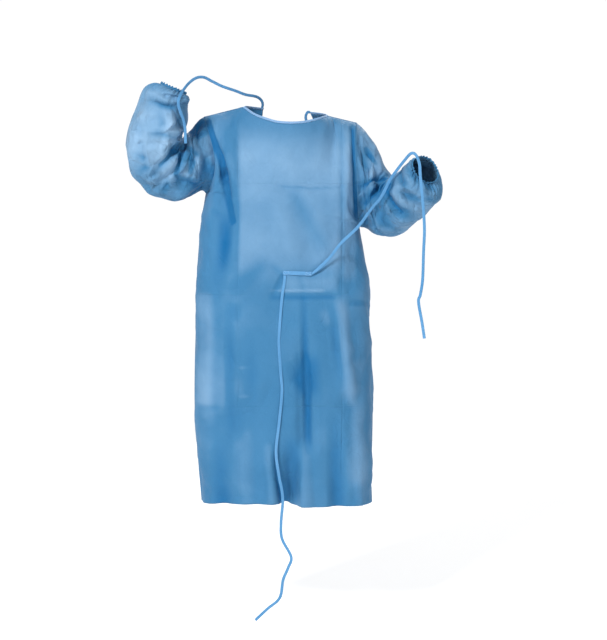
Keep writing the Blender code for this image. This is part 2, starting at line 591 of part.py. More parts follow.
def material(name, colour):
    """A matt cloth material."""
    made = bpy.data.materials.get(name) or bpy.data.materials.new(name)
    made.use_nodes = True
    shader = made.node_tree.nodes["Principled BSDF"]
    shader.inputs["Base Color"].default_value = (*colour, 1.0)
    shader.inputs["Roughness"].default_value = 0.75
    shader.inputs["Metallic"].default_value = 0.0
    return made


def solid(name, points, faces, look):
    """A closed solid in the scene, its faces turned out."""
    corners = points[np.array(faces)]
    volume = np.einsum("ij,ij->i", corners[:, 0], np.cross(corners[:, 1], corners[:, 2])).sum()
    if volume < 0:
        faces = [tuple(reversed(face)) for face in faces]
    mesh = bpy.data.meshes.new(name)
    mesh.from_pydata(points.tolist(), [], faces)
    mesh.update()
    mesh.shade_smooth()
    mesh.set_sharp_from_angle(angle=math.radians(50))
    mesh.materials.append(look)
    made = bpy.data.objects.new(name, mesh)
    bpy.context.scene.collection.objects.link(made)
    return made


def ribbon(name, route, steps, sewn_end, look):
    """A flat tie along a route, with its flat side facing as the route says. Its sewn end lies
    square to the piece that it meets."""
    line = smooth_curve(route, steps)
    middles = line[:, :3]
    turns = np.radians(line[:, 3])
    along = unit(np.gradient(middles, axis=0))
    facing = np.stack([np.sin(turns), -np.cos(turns), np.zeros_like(turns)], axis=1)
    facing = unit(facing - np.sum(facing * along, axis=1, keepdims=True) * along)
    across = np.cross(along, facing)
    across[0] = unit(sewn_end.across)
    facing[0] = unit(sewn_end.face)
    half = TIE_WIDTH / 2
    outer = np.stack([middles - across * half, middles + across * half], axis=1)
    outer = outer + facing[:, None, :] * TIE_THICKNESS / 2
    inward = np.repeat(-facing[:, None, :], 2, axis=1)
    points, faces = wall_mesh(outer, inward, TIE_THICKNESS)
    return solid(name, points, faces, look)


def body_panels():
    """Outer faces of the front and both backs, folded, with their inward directions."""
    grids = {"front": front_grid(), "back_right": back_grid("right"), "back_left": back_grid("left")}
    folds = {"front": FOLDS_FRONT, "back_right": FOLDS_BACK, "back_left": FOLDS_BACK}
    turned = {"front": -1, "back_right": 1, "back_left": -1}
    made = {}
    for name, grid in grids.items():
        inward = turned[name] * grid_normals(grid)
        grid = folded(grid, folds[name], inward, both_sides=name == "front")
        made[name] = (grid, turned[name] * grid_normals(grid))
    return made


def armhole_ring(front, back, column):
    """The armhole as one ring: from the armpit up the front edge and down the back edge."""
    up = front[ROWS_SKIRT:, column]
    down = back[ROWS_SKIRT:, 0][::-1]
    return np.vstack([up, down[1:-1]])


def sleeves(panels):
    """Outer faces of both sleeves with their inward directions."""
    front = panels["front"][0]
    made = {}
    for side, column, sections, folds in (("right", 0, SLEEVE_RIGHT, FOLDS_SLEEVE_RIGHT),
                                          ("left", -1, SLEEVE_LEFT, FOLDS_SLEEVE_LEFT)):
        ring = armhole_ring(front, panels["back_" + side][0], column)
        grid = sleeve_grid(ring, sections, folds)
        normals = grid_normals(grid, closed=True)
        centres = grid.mean(axis=1, keepdims=True)
        if np.sum(normals * (centres - grid)) < 0:
            normals = -normals
        made["sleeve_" + side] = (grid, normals)
    return made


def binding(front, backs, inwards, look):
    """The folded strip round the neckline, from one back corner round the front to the other."""
    start = COLUMNS_SHOULDER
    stop = COLUMNS_SHOULDER + COLUMNS_NECK_FRONT
    runs = [(backs["back_right"][:, :start - 1:-1], inwards["back_right"][-1, :start - 1:-1]),
            (front[:, start:stop + 1], inwards["front"][-1, start:stop + 1]),
            (backs["back_left"][:, start:], inwards["back_left"][-1, start:])]
    edge, below, inward = join_runs([(grid[-1], grid[-2], ways) for grid, ways in runs])
    along = unit(np.gradient(edge, axis=0))
    up = edge - below
    up = up - np.sum(up * along, axis=1, keepdims=True) * along
    for _ in range(BINDING_SMOOTHING):
        up[1:-1] = unit(up[:-2] + 2 * up[1:-1] + up[2:])
    up = unit(up - np.sum(up * along, axis=1, keepdims=True) * along)
    up = unit(up - np.sum(up * inward, axis=1, keepdims=True) * inward)
    low = edge + up * SEAM_GAP - inward * BINDING_PROUD
    high = low + up * BINDING_WIDTH
    grid = np.stack([low, high])
    points, faces = wall_mesh(grid, np.stack([inward, inward]), CLOTH + 2 * BINDING_PROUD)
    return solid("neck_binding", points, faces, look)


def join_runs(runs):
    """Lines that follow each other as one, with the shared end points of two runs averaged."""
    joined = []
    for lines in zip(*runs):
        whole = lines[0]
        for line in lines[1:]:
            whole = np.vstack([whole[:-1], (whole[-1:] + line[:1]) / 2, line[1:]])
        joined.append(whole)
    return joined


def front_face_y(grid, x, height):
    """How far forward a panel's outer face lies at an x and a height."""
    best = None
    rows, columns = grid.shape[:2]
    away = (grid[..., 0] - x) ** 2 + (grid[..., 2] - height) ** 2
    near_row, near_column = np.unravel_index(np.argmin(away), away.shape)
    for row in range(max(near_row - 2, 0), min(near_row + 2, rows - 1)):
        for column in range(max(near_column - 2, 0), min(near_column + 2, columns - 1)):
            a, b = grid[row, column], grid[row, column + 1]
            c, d = grid[row + 1, column + 1], grid[row + 1, column]
            for corners in ((a, b, c), (a, c, d)):
                weights = np.linalg.solve(np.array([[p[0], p[2], 1.0] for p in corners]).T,
                                          [x, height, 1.0])
                if weights.min() > -1e-9:
                    y = weights @ [p[1] for p in corners]
                    best = y if best is None else min(best, y)
    return best


def belt_front(grid, look):
    """The stretch of belt that is sewn flat on the front."""
    lines = []
    for side in (-BELT_WIDTH / 2, BELT_WIDTH / 2):
        line = []
        for share in np.linspace(0.0, 1.0, BELT_STEPS + 1):
            x = BELT_FROM[0] + share * (BELT_TO[0] - BELT_FROM[0])
            height = BELT_FROM[1] + share * (BELT_TO[1] - BELT_FROM[1]) + side
            around = [front_face_y(grid, x + reach, height) for reach in BELT_LOOK_AROUND]
            line.append((x, min(around) - BELT_OFFSET - TIE_THICKNESS, height))
        lines.append(line)
    face = np.array(lines)
    face[..., 1] = face[..., 1].min(axis=0)
    ways = np.zeros_like(face)
    ways[..., 1] = 1.0
    points, faces = wall_mesh(face, ways, TIE_THICKNESS)
    return solid("belt_front", points, faces, look)


def main():
    for item in list(bpy.data.objects):
        bpy.data.objects.remove(item)
    cloth = material("gown_cloth", CLOTH_BLUE)
    trim = material("gown_trim", TRIM_BLUE)

    panels = body_panels()
    tubes = sleeves(panels)
    names = list(panels) + list(tubes)
    everything = {**panels, **tubes}
    inwards = dict(zip(names, shared_inward([everything[name] for name in names])))

    front = pulled(panels["front"][0], left=True, right=True, top=True)
    backs = {name: pulled(panels[name][0], left=True, top=True) for name in ("back_right", "back_left")}
    solid("front", *wall_mesh(front, inwards["front"], CLOTH), cloth)
    for name, grid in backs.items():
        solid(name, *wall_mesh(grid, inwards[name], CLOTH), cloth)
    for name, (grid, _) in tubes.items():
        side = name.split("_")[1]
        drawn = pulled(grid, bottom=True)
        solid(name, *wall_mesh(drawn, inwards[name], CLOTH, closed=True), cloth)
        cuff = cuff_grid(grid)
        centre = cuff.mean(axis=1, keepdims=True)
        solid("cuff_" + side, *wall_mesh(cuff, unit(centre - cuff), CLOTH, closed=True), cloth)
    binding(front, backs, inwards, trim)
    belt_front(front, trim)
    ribbon("neck_tie_right", NECK_TIE_RIGHT, NECK_TIE_STEPS, NECK_TIE_RIGHT_END, trim)
    ribbon("neck_tie_left", NECK_TIE_LEFT, NECK_TIE_STEPS, NECK_TIE_LEFT_END, trim)
    ribbon("belt_tie_right", BELT_TIE_RIGHT, BELT_TIE_STEPS, BELT_TIE_RIGHT_END, trim)
    ribbon("belt_tie_left", BELT_TIE_LEFT, BELT_TIE_STEPS, BELT_TIE_LEFT_END, trim)


main()
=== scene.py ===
"""The disposable isolation gown as it looks in its photograph: thin creased cloth, pale ties and
binding, stitching, a pale floor, soft light and the camera.

Metres, +Z up, the front of the gown faces -Y, and the wearer's right is on the -X side. The cloth
is built from the same sizes as the solids of the frame, then gets its finer folds.
"""

import math
from collections import namedtuple

import bpy
import numpy as np
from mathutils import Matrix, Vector, noise
from mathutils.geometry import delaunay_2d_cdt

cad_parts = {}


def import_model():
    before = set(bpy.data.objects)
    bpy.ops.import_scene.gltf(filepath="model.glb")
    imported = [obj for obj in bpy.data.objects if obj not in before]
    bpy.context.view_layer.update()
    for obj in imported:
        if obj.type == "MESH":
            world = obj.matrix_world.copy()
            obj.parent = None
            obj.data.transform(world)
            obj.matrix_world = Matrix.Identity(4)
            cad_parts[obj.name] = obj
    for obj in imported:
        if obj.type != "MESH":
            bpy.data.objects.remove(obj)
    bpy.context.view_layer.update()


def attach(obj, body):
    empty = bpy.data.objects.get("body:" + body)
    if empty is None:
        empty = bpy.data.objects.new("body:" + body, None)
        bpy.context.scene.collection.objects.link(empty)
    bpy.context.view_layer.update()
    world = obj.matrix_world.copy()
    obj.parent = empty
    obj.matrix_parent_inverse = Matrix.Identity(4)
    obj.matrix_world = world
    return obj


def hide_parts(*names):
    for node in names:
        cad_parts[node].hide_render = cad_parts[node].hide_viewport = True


# Cloth and seams
SEAM_GAP = 0.0003       # between two pieces that a seam joins
BINDING_WIDTH = 0.007
BINDING_PROUD = 0.0004  # the folded binding stands out from the cloth on both sides
BINDING_SMOOTHING = 2
TIE_THICKNESS = 0.0010
BELT_WIDTH = 0.012
CUFF_LENGTH = 0.008

# Grid of the body: rows from hem to armpit and armpit to shoulder, columns along each edge
ROWS_SKIRT = 13
ROWS_ARMHOLE = 10
ROWS_LEVEL = 3          # rows above the armpit that are still level sections
COLUMNS_SHOULDER = 8
COLUMNS_NECK_FRONT = 24
COLUMNS_NECK_BACK = 6
SLEEVE_STEPS_PER_SECTION = 2
BACK_RING_POINTS = 600     # fine points of a back level section before it is cut at the open edge
HALF_RING_POINTS = 400     # fine points of half a level section before it is sampled
CURVE_STEPS = 24           # fine points between two given points of a curve

# Squareness of the level sections: 2 is an ellipse, more is nearer a box
FRONT_SQUARENESS = 2.9
BACK_SQUARENESS = 2.3

# Level sections of the body, from hem to armpit
Level = namedtuple("Level", "height right left front back")
LEVELS = [
    Level(-1.150, -0.257, 0.246, -0.140, 0.150),
    Level(-1.040, -0.265, 0.247, -0.140, 0.146),
    Level(-0.950, -0.271, 0.249, -0.139, 0.142),
    Level(-0.860, -0.276, 0.250, -0.138, 0.139),
    Level(-0.760, -0.275, 0.244, -0.137, 0.136),
    Level(-0.640, -0.271, 0.239, -0.136, 0.133),
    Level(-0.520, -0.267, 0.236, -0.135, 0.131),
    Level(-0.435, -0.264, 0.229, -0.133, 0.130),
    Level(-0.360, -0.257, 0.214, -0.130, 0.130),
    Level(-0.300, -0.249, 0.206, -0.127, 0.129),
    Level(-0.200, -0.232, 0.204, -0.122, 0.126),
]
HEM_SIDE = -1.150
HEM_FRONT_RIGHT = 0.020     # how far the front hem is lifted above the side, wearer's right half
HEM_FRONT_LEFT = 0.010
HEM_HALF_WIDTH = 0.26       # how far to the sides the front hem's lift reaches
SIDE_SEAM_Y = 0.0

# Corners of the cut
ARMPIT_RIGHT = (-0.239, 0.000, -0.241)
ARMPIT_LEFT = (0.208, 0.000, -0.338)
SHOULDER_RIGHT = (-0.244, 0.005, -0.019)
SHOULDER_LEFT = (0.200, 0.005, -0.036)
NECK_RIGHT = (-0.131, 0.002, 0.009)
NECK_LEFT = (0.120, 0.002, -0.017)
BACK_CORNER_RIGHT = (-0.074, 0.068, 0.004)
BACK_CORNER_LEFT = (0.067, 0.068, -0.007)
BACK_EDGE_RIGHT_HEM = -0.052
BACK_EDGE_LEFT_HEM = 0.048

# Points between the corners
ARMHOLE_RIGHT_FRONT = [(-0.224, -0.040, -0.221), (-0.209, -0.066, -0.170),
                       (-0.214, -0.068, -0.112), (-0.231, -0.044, -0.055)]
ARMHOLE_RIGHT_BACK = [(-0.224, 0.042, -0.219), (-0.208, 0.068, -0.168),
                      (-0.210, 0.073, -0.108), (-0.228, 0.052, -0.052)]
ARMHOLE_LEFT_FRONT = [(0.203, -0.045, -0.302), (0.199, -0.075, -0.232), (0.196, -0.084, -0.160),
                      (0.194, -0.075, -0.098), (0.196, -0.043, -0.055)]
ARMHOLE_LEFT_BACK = [(0.202, 0.044, -0.300), (0.194, 0.070, -0.225), (0.190, 0.076, -0.150),
                     (0.191, 0.068, -0.090), (0.196, 0.042, -0.050)]
NECKLINE_FRONT = [(-0.107, -0.034, -0.010), (-0.087, -0.055, -0.021), (-0.058, -0.076, -0.032),
                  (-0.030, -0.089, -0.040), (0.007, -0.095, -0.043), (0.044, -0.089, -0.041),
                  (0.073, -0.076, -0.035), (0.098, -0.053, -0.027)]
NECKLINE_BACK_RIGHT = [(-0.112, 0.042, 0.008)]
NECKLINE_BACK_LEFT = [(0.103, 0.042, -0.012)]

# Slope, in degrees, at which the cloth arrives at the top edge
SLOPE_AT_SHOULDER = 20
SLOPE_AT_NECK_FRONT = 68
SLOPE_AT_NECK_BACK = 55
RISE_LENGTH = 0.19
CORNER_SMOOTHING = 6    # passes that round the cloth's way at the corner by the neck
ARMHOLE_REACH = 0.40    # share of a panel's width over which the armhole's own shape fades out

# Sections of the sleeves, from the armhole to the wrist: the point at the inner bend of the elbow
# side, the point opposite it, and half the depth across both
Section = namedtuple("Section", "inner_x inner_y inner_z outer_x outer_y outer_z half_depth")
SLEEVE_RIGHT = [
    Section(-0.263, -0.006, -0.034, -0.252, -0.006, -0.236, 0.084),
    Section(-0.279, -0.016, -0.049, -0.268, -0.016, -0.244, 0.085),
    Section(-0.288, -0.028, -0.063, -0.292, -0.030, -0.252, 0.084),
    Section(-0.293, -0.042, -0.074, -0.326, -0.046, -0.259, 0.081),
    Section(-0.296, -0.054, -0.082, -0.363, -0.060, -0.252, 0.078),
    Section(-0.299, -0.065, -0.087, -0.399, -0.074, -0.243, 0.076),
    Section(-0.302, -0.075, -0.088, -0.425, -0.086, -0.216, 0.075),
    Section(-0.303, -0.083, -0.085, -0.444, -0.096, -0.191, 0.074),
    Section(-0.301, -0.090, -0.080, -0.449, -0.104, -0.158, 0.073),
    Section(-0.297, -0.096, -0.074, -0.450, -0.110, -0.121, 0.073),
    Section(-0.291, -0.100, -0.062, -0.450, -0.114, -0.081, 0.073),
    Section(-0.285, -0.105, -0.036, -0.442, -0.117, -0.036, 0.072),
    Section(-0.284, -0.110, -0.005, -0.433, -0.119, -0.005, 0.070),
    Section(-0.282, -0.115, 0.013, -0.422, -0.120, 0.025, 0.066),
    Section(-0.280, -0.118, 0.025, -0.407, -0.120, 0.051, 0.059),
    Section(-0.280, -0.120, 0.030, -0.390, -0.120, 0.065, 0.050),
    Section(-0.283, -0.120, 0.033, -0.372, -0.120, 0.069, 0.041),
    Section(-0.287, -0.120, 0.035, -0.359, -0.120, 0.066, 0.034),
]
SLEEVE_LEFT = [
    Section(0.222, -0.002, -0.060, 0.222, -0.002, -0.338, 0.080),
    Section(0.243, -0.008, -0.094, 0.234, -0.008, -0.346, 0.080),
    Section(0.260, -0.018, -0.126, 0.247, -0.018, -0.355, 0.080),
    Section(0.272, -0.036, -0.156, 0.263, -0.036, -0.360, 0.078),
    Section(0.282, -0.049, -0.177, 0.279, -0.049, -0.365, 0.076),
    Section(0.290, -0.062, -0.192, 0.293, -0.062, -0.365, 0.074),
    Section(0.296, -0.077, -0.200, 0.306, -0.077, -0.362, 0.073),
    Section(0.300, -0.094, -0.198, 0.323, -0.094, -0.348, 0.072),
    Section(0.307, -0.114, -0.187, 0.346, -0.114, -0.329, 0.071),
    Section(0.318, -0.136, -0.173, 0.370, -0.136, -0.310, 0.069),
    Section(0.328, -0.158, -0.164, 0.395, -0.158, -0.288, 0.066),
    Section(0.338, -0.178, -0.156, 0.415, -0.178, -0.272, 0.061),
    Section(0.344, -0.193, -0.150, 0.427, -0.193, -0.254, 0.053),
    Section(0.347, -0.203, -0.146, 0.425, -0.203, -0.226, 0.043),
    Section(0.352, -0.210, -0.146, 0.412, -0.210, -0.206, 0.034),
]
ARMHOLE_TURN = 6.0      # sections over which they turn from the armhole's own way to the sleeve's
SECTION_SMOOTHING = 10  # passes that even out how the sections turn from one to the next
ARMHOLE_FADE = 3.0      # sections over which the armhole's own shape fades into the sleeve's

# Folds as soft troughs, or ridges where the depth is negative. On the body the two places are x
# and height, on a sleeve the section number and the degrees round from the outer point by the front
Fold = namedtuple("Fold", "from_a from_b to_a to_b half_width from_depth to_depth")
FOLDS_FRONT = [
    Fold(-0.216, -0.065, -0.190, -0.190, 0.030, 0.008, 0.017),
    Fold(-0.190, -0.190, -0.178, -0.320, 0.030, 0.017, 0.005),
    Fold(-0.186, -0.330, -0.200, -0.470, 0.040, 0.006, 0.002),
    Fold(0.188, -0.070, 0.190, -0.290, 0.026, 0.008, 0.014),
    Fold(0.010, -0.220, 0.075, -0.420, 0.055, 0.004, 0.009),
    Fold(0.140, -0.540, 0.175, -0.780, 0.045, -0.006, -0.012),
    Fold(0.052, -0.680, 0.052, -0.960, 0.040, 0.006, 0.018),
    Fold(0.010, -0.950, 0.008, -1.200, 0.040, 0.004, 0.070),
    Fold(-0.055, -0.900, -0.050, -1.200, 0.050, -0.002, -0.016),
    Fold(-0.190, -0.700, -0.185, -1.200, 0.040, 0.003, 0.010),
    Fold(0.120, -0.900, 0.150, -1.200, 0.045, 0.002, 0.012),
]
FOLDS_BACK = [
    Fold(-0.190, -0.080, -0.150, -0.330, 0.035, 0.006, 0.014),
    Fold(0.165, -0.090, 0.150, -0.360, 0.035, 0.006, 0.012),
    Fold(-0.150, -0.520, -0.170, -1.200, 0.050, 0.004, 0.022),
    Fold(-0.095, -0.750, -0.090, -1.200, 0.035, -0.002, -0.012),
    Fold(0.130, -0.480, 0.150, -1.200, 0.050, 0.004, 0.018),
    Fold(0.205, -0.800, 0.200, -1.200, 0.040, -0.002, -0.012),
]
FOLDS_SLEEVE_RIGHT = [
    Fold(4.6, 40, 5.0, 138, 0.017, 0.004, 0.011),
    Fold(6.6, 30, 6.4, 138, 0.016, 0.004, 0.010),
    Fold(8.6, 45, 8.2, 138, 0.016, 0.003, 0.008),
    Fold(10.6, 60, 10.2, 165, 0.015, 0.004, 0.008),
    Fold(2.4, 70, 3.0, 140, 0.018, 0.006, 0.010),
    Fold(15.3, 40, 15.0, 150, 0.012, 0.005, 0.007),
    Fold(5.2, 210, 4.8, 320, 0.018, 0.012, 0.004),
    Fold(7.6, 205, 7.8, 310, 0.018, 0.012, 0.004),
    Fold(10.2, 200, 10.4, 300, 0.018, 0.008, 0.004),
    Fold(14.8, 210, 15.2, 320, 0.012, 0.006, 0.004),
]
FOLDS_SLEEVE_LEFT = [
    Fold(1.6, 60, 3.0, 130, 0.022, 0.004, 0.010),
    Fold(4.2, 80, 4.8, 160, 0.018, 0.006, 0.012),
    Fold(5.9, 40, 6.4, 155, 0.016, 0.004, 0.013),
    Fold(7.6, 30, 7.8, 150, 0.015, 0.008, 0.010),
    Fold(9.6, 60, 9.4, 160, 0.015, 0.006, 0.007),
    Fold(11.4, 40, 11.4, 150, 0.013, 0.005, 0.006),
    Fold(3.4, 210, 3.0, 310, 0.022, 0.010, 0.004),
    Fold(6.2, 205, 6.0, 320, 0.018, 0.012, 0.004),
    Fold(9.0, 210, 9.2, 320, 0.016, 0.008, 0.004),
]
EDGE_TAPER_STEPS = 4    # columns or rings over which folds fade out towards a seam
SECTION_STEP = 0.024    # metres that one section number stands for in a fold's half width
DEGREE_STEP = 0.0014    # metres that one degree round a sleeve stands for there

# The sewn stretch of the belt, as x and height on the front
BELT_FROM = (-0.013, -0.465)
BELT_TO = (0.069, -0.468)
BELT_STEPS = 10
BELT_OFFSET = 0.0005
BELT_LOOK_AROUND = (-0.005, 0.0, 0.005)

# Routes of the ties: x, y, height, and the way the flat side faces in degrees from the
# front towards the wearer's left
NECK_TIE_RIGHT = [
    (-0.0762, 0.06158, 0.01056, 208), (-0.0745, 0.0577, 0.019, 206), (-0.076, 0.0525, 0.0275, 203),
    (-0.0815, 0.0455, 0.035, 198), (-0.0895, 0.036, 0.040, 192), (-0.100, 0.024, 0.0425, 186),
    (-0.124, 0.002, 0.0455, 180), (-0.152, -0.020, 0.055, 180), (-0.188, -0.045, 0.066, 180),
    (-0.216, -0.062, 0.079, 180), (-0.238, -0.078, 0.089, 180), (-0.258, -0.098, 0.086, 190),
    (-0.276, -0.122, 0.071, 205), (-0.289, -0.146, 0.052, 212), (-0.299, -0.163, 0.032, 208),
    (-0.304, -0.170, 0.012, 200), (-0.299, -0.163, -0.012, 200), (-0.291, -0.155, -0.034, 205),
    (-0.287, -0.150, -0.060, 205), (-0.286, -0.148, -0.100, 205),
]
NECK_TIE_LEFT = [
    (0.06542, 0.0652, -0.00237, 146), (0.0575, 0.0705, -0.0025, 152), (0.0525, 0.0775, -0.0125, 162),
    (0.0535, 0.0825, -0.025, 172), (0.0605, 0.0885, -0.040, 178), (0.069, 0.095, -0.060, 180),
    (0.0765, 0.103, -0.085, 180), (0.080, 0.1105, -0.120, 180), (0.0805, 0.120, -0.170, 180),
    (0.079, 0.1258, -0.250, 180), (0.076, 0.1248, -0.330, 180), (0.073, 0.1266, -0.400, 180),
    (0.074, 0.1272, -0.460, 180),
]
BELT_TIE_RIGHT = [
    (-0.0074, -0.1348, -0.47153, 0), (-0.0078, -0.1355, -0.483, 0), (-0.010, -0.1364, -0.500, 0),
    (-0.016, -0.1373, -0.539, 0), (-0.024, -0.1382, -0.642, 0), (-0.024, -0.1386, -0.685, 0),
    (-0.019, -0.1392, -0.757, 0), (-0.016, -0.1398, -0.809, 0), (-0.025, -0.142, -0.901, 0),
    (-0.033, -0.1462, -0.978, 0), (-0.025, -0.147, -1.045, 4), (-0.014, -0.148, -1.111, 8),
    (-0.019, -0.150, -1.184, 5), (-0.016, -0.152, -1.230, 0), (0.010, -0.155, -1.282, -10),
    (0.001, -0.158, -1.314, -12), (-0.013, -0.160, -1.348, -6), (-0.023, -0.163, -1.400, 0),
    (-0.059, -0.166, -1.432, 4), (-0.093, -0.168, -1.464, 6),
]
BELT_TIE_LEFT = [
    (0.0693, -0.1301, -0.468, 0), (0.087, -0.134, -0.454, 0), (0.121, -0.142, -0.420, 0),
    (0.152, -0.150, -0.380, 0), (0.199, -0.161, -0.334, 0), (0.238, -0.172, -0.281, 0),
    (0.263, -0.180, -0.250, 0), (0.287, -0.188, -0.203, 0), (0.306, -0.195, -0.175, 0),
    (0.325, -0.203, -0.150, 5), (0.343, -0.213, -0.130, 12), (0.356, -0.226, -0.134, 18),
    (0.365, -0.240, -0.159, 16), (0.367, -0.250, -0.195, 8), (0.374, -0.252, -0.263, 0),
    (0.379, -0.252, -0.336, 0), (0.377, -0.252, -0.401, 0), (0.375, -0.252, -0.476, 0),
    (0.369, -0.252, -0.519, 0), (0.364, -0.252, -0.539, 0), (0.374, -0.252, -0.596, 0),
    (0.381, -0.252, -0.641, 0),
]

# How the sewn end of each tie lies against its piece: the way across the tie, and the way it faces
TieEnd = namedtuple("TieEnd", "across face")
NECK_TIE_RIGHT_END = TieEnd((-0.839, -0.539, 0.075), (-0.403, 0.754, 0.518))
NECK_TIE_LEFT_END = TieEnd((0.178, 0.456, -0.872), (0.519, 0.710, 0.477))
BELT_TIE_RIGHT_END = TieEnd((-1.0, 0.0, 0.037), (0.0, -1.0, 0.0))
BELT_TIE_LEFT_END = TieEnd((0.0, 0.0, -1.0), (0.0, -1.0, 0.0))

# Fineness of the cloth: steps that each row or column of the solids' grid is divided into
FINE_SKIRT = 13
FINE_UPPER = 6
FINE_COLUMNS = 5
FINE_RING = 6
FINE_AROUND = 8
SHEET_THICKNESS = 0.0005

# Cuts of the pieces: width and length of the flat piece, and its area
Cut = namedtuple("Cut", "width length area")

# Creases on the cloth, in metres: the form, half the width, the points as x, height and depth, and
# how strong the painted shade in the crease is for its depth, with a painted highlight on a ridge.
# Depth is in, a ridge is negative. A soft crease is rounded, a sharp one has straight sides, a step is
# steep on one side, and a fold has a flat bottom between two steep sides.
Crease = namedtuple("Crease", "form half_width points shade", defaults=(1.0,))
STEP_STEEPNESS = 5.0    # how much steeper the far side of a step crease is
FOLD_STEEPNESS = 3.5    # how steep both sides of a doubled fold are
SHARP_SHARE = 0.8       # how much of a sharp crease's depth its straight sides make
SEAM_REACH = 0.018      # metres from a seam over which the fine folds fade out

# Crumpled facets and soft waves: the size of one, its height, and a number that starts its pattern
FACETS_BODY = [(0.110, 0.0070, 11), (0.045, 0.0026, 12), (0.018, 0.0010, 13)]
FACETS_SLEEVE = [(0.070, 0.0150, 21), (0.034, 0.0080, 22), (0.016, 0.0020, 23)]
FACET_JITTER = 0.42     # share of a cell that a facet's corner is moved by
RIPPLES_BODY = [(0.240, 0.0030, 3.1)]
RIPPLES_SLEEVE = [(0.140, 0.0030, 5.3)]
RIPPLE_STRETCH = (1.0, 1.0, 0.45)   # the body's waves are longer up and down

# The chest is calmer than the sides: share of the facets and waves left there, half the width of
# the calm stretch and how far it fades
CALM_SHARE = 0.45
CALM_HALF_WIDTH = 0.10
CALM_FADE = 0.08

# Sleeves: how far the cloth has to face the front or the back to show all of that side's creases,
# and the share of the facets' height left where it faces neither
FACING_WHOLE = 0.35
FACING_LEFT = 0.35

# In the material: the lines pressed by the packing, by axis, place and strength, how much the
# normals of facets of that size tilt, and crumples: size, width of the crease and how deep
PACKING_LINES = [("X", -0.140, 1.0), ("X", 0.157, 1.0), ("Z", -0.214, 0.8), ("Z", -0.528, 1.0),
                 ("Z", -0.851, 0.9), ("Z", -1.060, 0.4)]
PACKING_WIDTH = 0.0035
PACKING_RISE = 0.0016
PACKING_WAVER = 0.012   # metres that a line strays over its length
WAVER_SCALE = 6.0
BODY_TILTS = [(0.100, 0.10), (0.040, 0.05)]
SLEEVE_TILTS = [(0.045, 0.60), (0.022, 0.25)]
CRUMPLES = [(0.060, 0.0060, 0.0035), (0.028, 0.0035, 0.0014)]

# Gathers of the elastic at the sleeve ends
GATHER_COUNT = 26
GATHER_REACH = 0.055
GATHER_DEPTH = 0.0020
GATHER_CURVE = 1.5      # how the pleats grow towards the end
GATHER_SHIFT = 0.12     # how far, in radians, a pleat moves from its even place
GATHER_UNEVEN = 0.8     # how much the pleats' depths differ
GATHER_CALM = 0.8       # share of the facets and waves that the pleats take away
CUFF_ROWS = 7
CUFF_PINCH = 0.0016
CUFF_PINCH_END = 0.8    # share of the cuff that is pinched
CUFF_FLARE = 0.5        # share of the pleats' depth that is left out at the cuff's free edge
CUFF_AIM_RINGS = 30     # fine rings back from the wrist that tell which way the forearm points

# Tapes: the ties, the belt and the neck binding
TAPE_POINTS = 12
TAPE_WIDTH = 0.0084
TAPE_THICKNESS = 0.0014
TAPE_SQUARE = 0.5       # how square the section of a tape is at its edges, 1 for an ellipse
TAPE_FLAT = 0.8         # how flat its two faces are, 1 for an ellipse
TAPE_TWIST = 26.0
TAPE_WAVES = 9.0
TAPE_WRINKLE = 0.0006
TAPE_WRINKLES = 160
TAPE_HELD = 1 / 30      # share of a tie's length over which its sewn end is held
TAPE_LOOSE = 1 / 12     # share of it over which it gets its twist and wrinkles
TAPE_KEPT_POINTS = 4    # one in so many points of a tie's middle line is picked out
NECK_TIE_FINE = 220
BELT_TIE_FINE = 420
BINDING_THICKNESS = 0.0024
BINDING_FINE = 6
STITCH_INSET = 0.0018
SEAM_BEAD = 0.0008
SEAM_BEAD_SINK = 0.0002
BEAD_POINTS = 6
BELT_FINE = 60
BELT_BOXES = ((2, 12), (47, 57))    # points of the belt where its two stitched boxes start and end
BELT_BOX_STEPS = 12

# Stitches: the length of one, how far it is to the next, the thread's radius and how far it is
# lifted off the cloth. Their shape is rings, by how far along a ring is and its share of the radius,
# and a ring of the share STITCH_SUNK lies with its middle at the lift.
Stitch = namedtuple("Stitch", "length pitch radius lift")
NECK_STITCH = Stitch(0.0030, 0.0046, 0.00028, 0.0002)
BELT_STITCH = Stitch(0.0022, 0.0032, 0.00028, 0.0002)
STITCH_SHAPE = ((0.0, 0.3), (0.25, 1.0), (0.75, 1.0), (1.0, 0.3))
STITCH_SUNK = 0.6
SOLID_WALL = 0.0012     # the solids' cloth, at whose middle the binding lies
CUFF_SHEET = 0.0008

# Camera of the photograph, the lights and the floor
CAMERA_PLACE = (0.04557, -4.4, -0.226)
CAMERA_PITCH = 5.00736
CAMERA_LENS = 84.506
CAMERA_SENSOR = 36.0
PHOTO_SIZE = (607, 640)
PIXEL_WIDTH = 0.00286   # metres across a pixel at the front of the gown
FLOOR = -1.510
ROOM_LIGHT = 1.02
ROOM_SHADE = 0.18
ROOM_WAY = (-0.20, 0.80)
FLOOR_REACH = 3.2
FLOOR_POINTS = 96
FLOOR_GLOW = 0.25
# Each lamp: its name, place, what it is aimed at, its two sizes, its watts and its colour
LAMPS = [
    ("key", (-2.3, -3.75, 2.4), (0.0, 0.0, -0.4), (1.1, 1.1), 256.0, (1.0, 0.99, 0.98)),
    ("front", (-0.3, -4.9, 0.5), (0.0, 0.0, -0.4), (1.2, 1.8), 20.0, (1.0, 1.0, 1.0)),
    ("right", (3.0, -3.2, 1.8), (0.0, 0.0, -0.5), (1.0, 1.4), 58.0, (0.98, 0.99, 1.0)),
    ("back", (0.6, 3.4, 2.2), (0.0, 0.0, -0.3), (2.4, 1.8), 60.0, (1.0, 1.0, 1.0)),
]
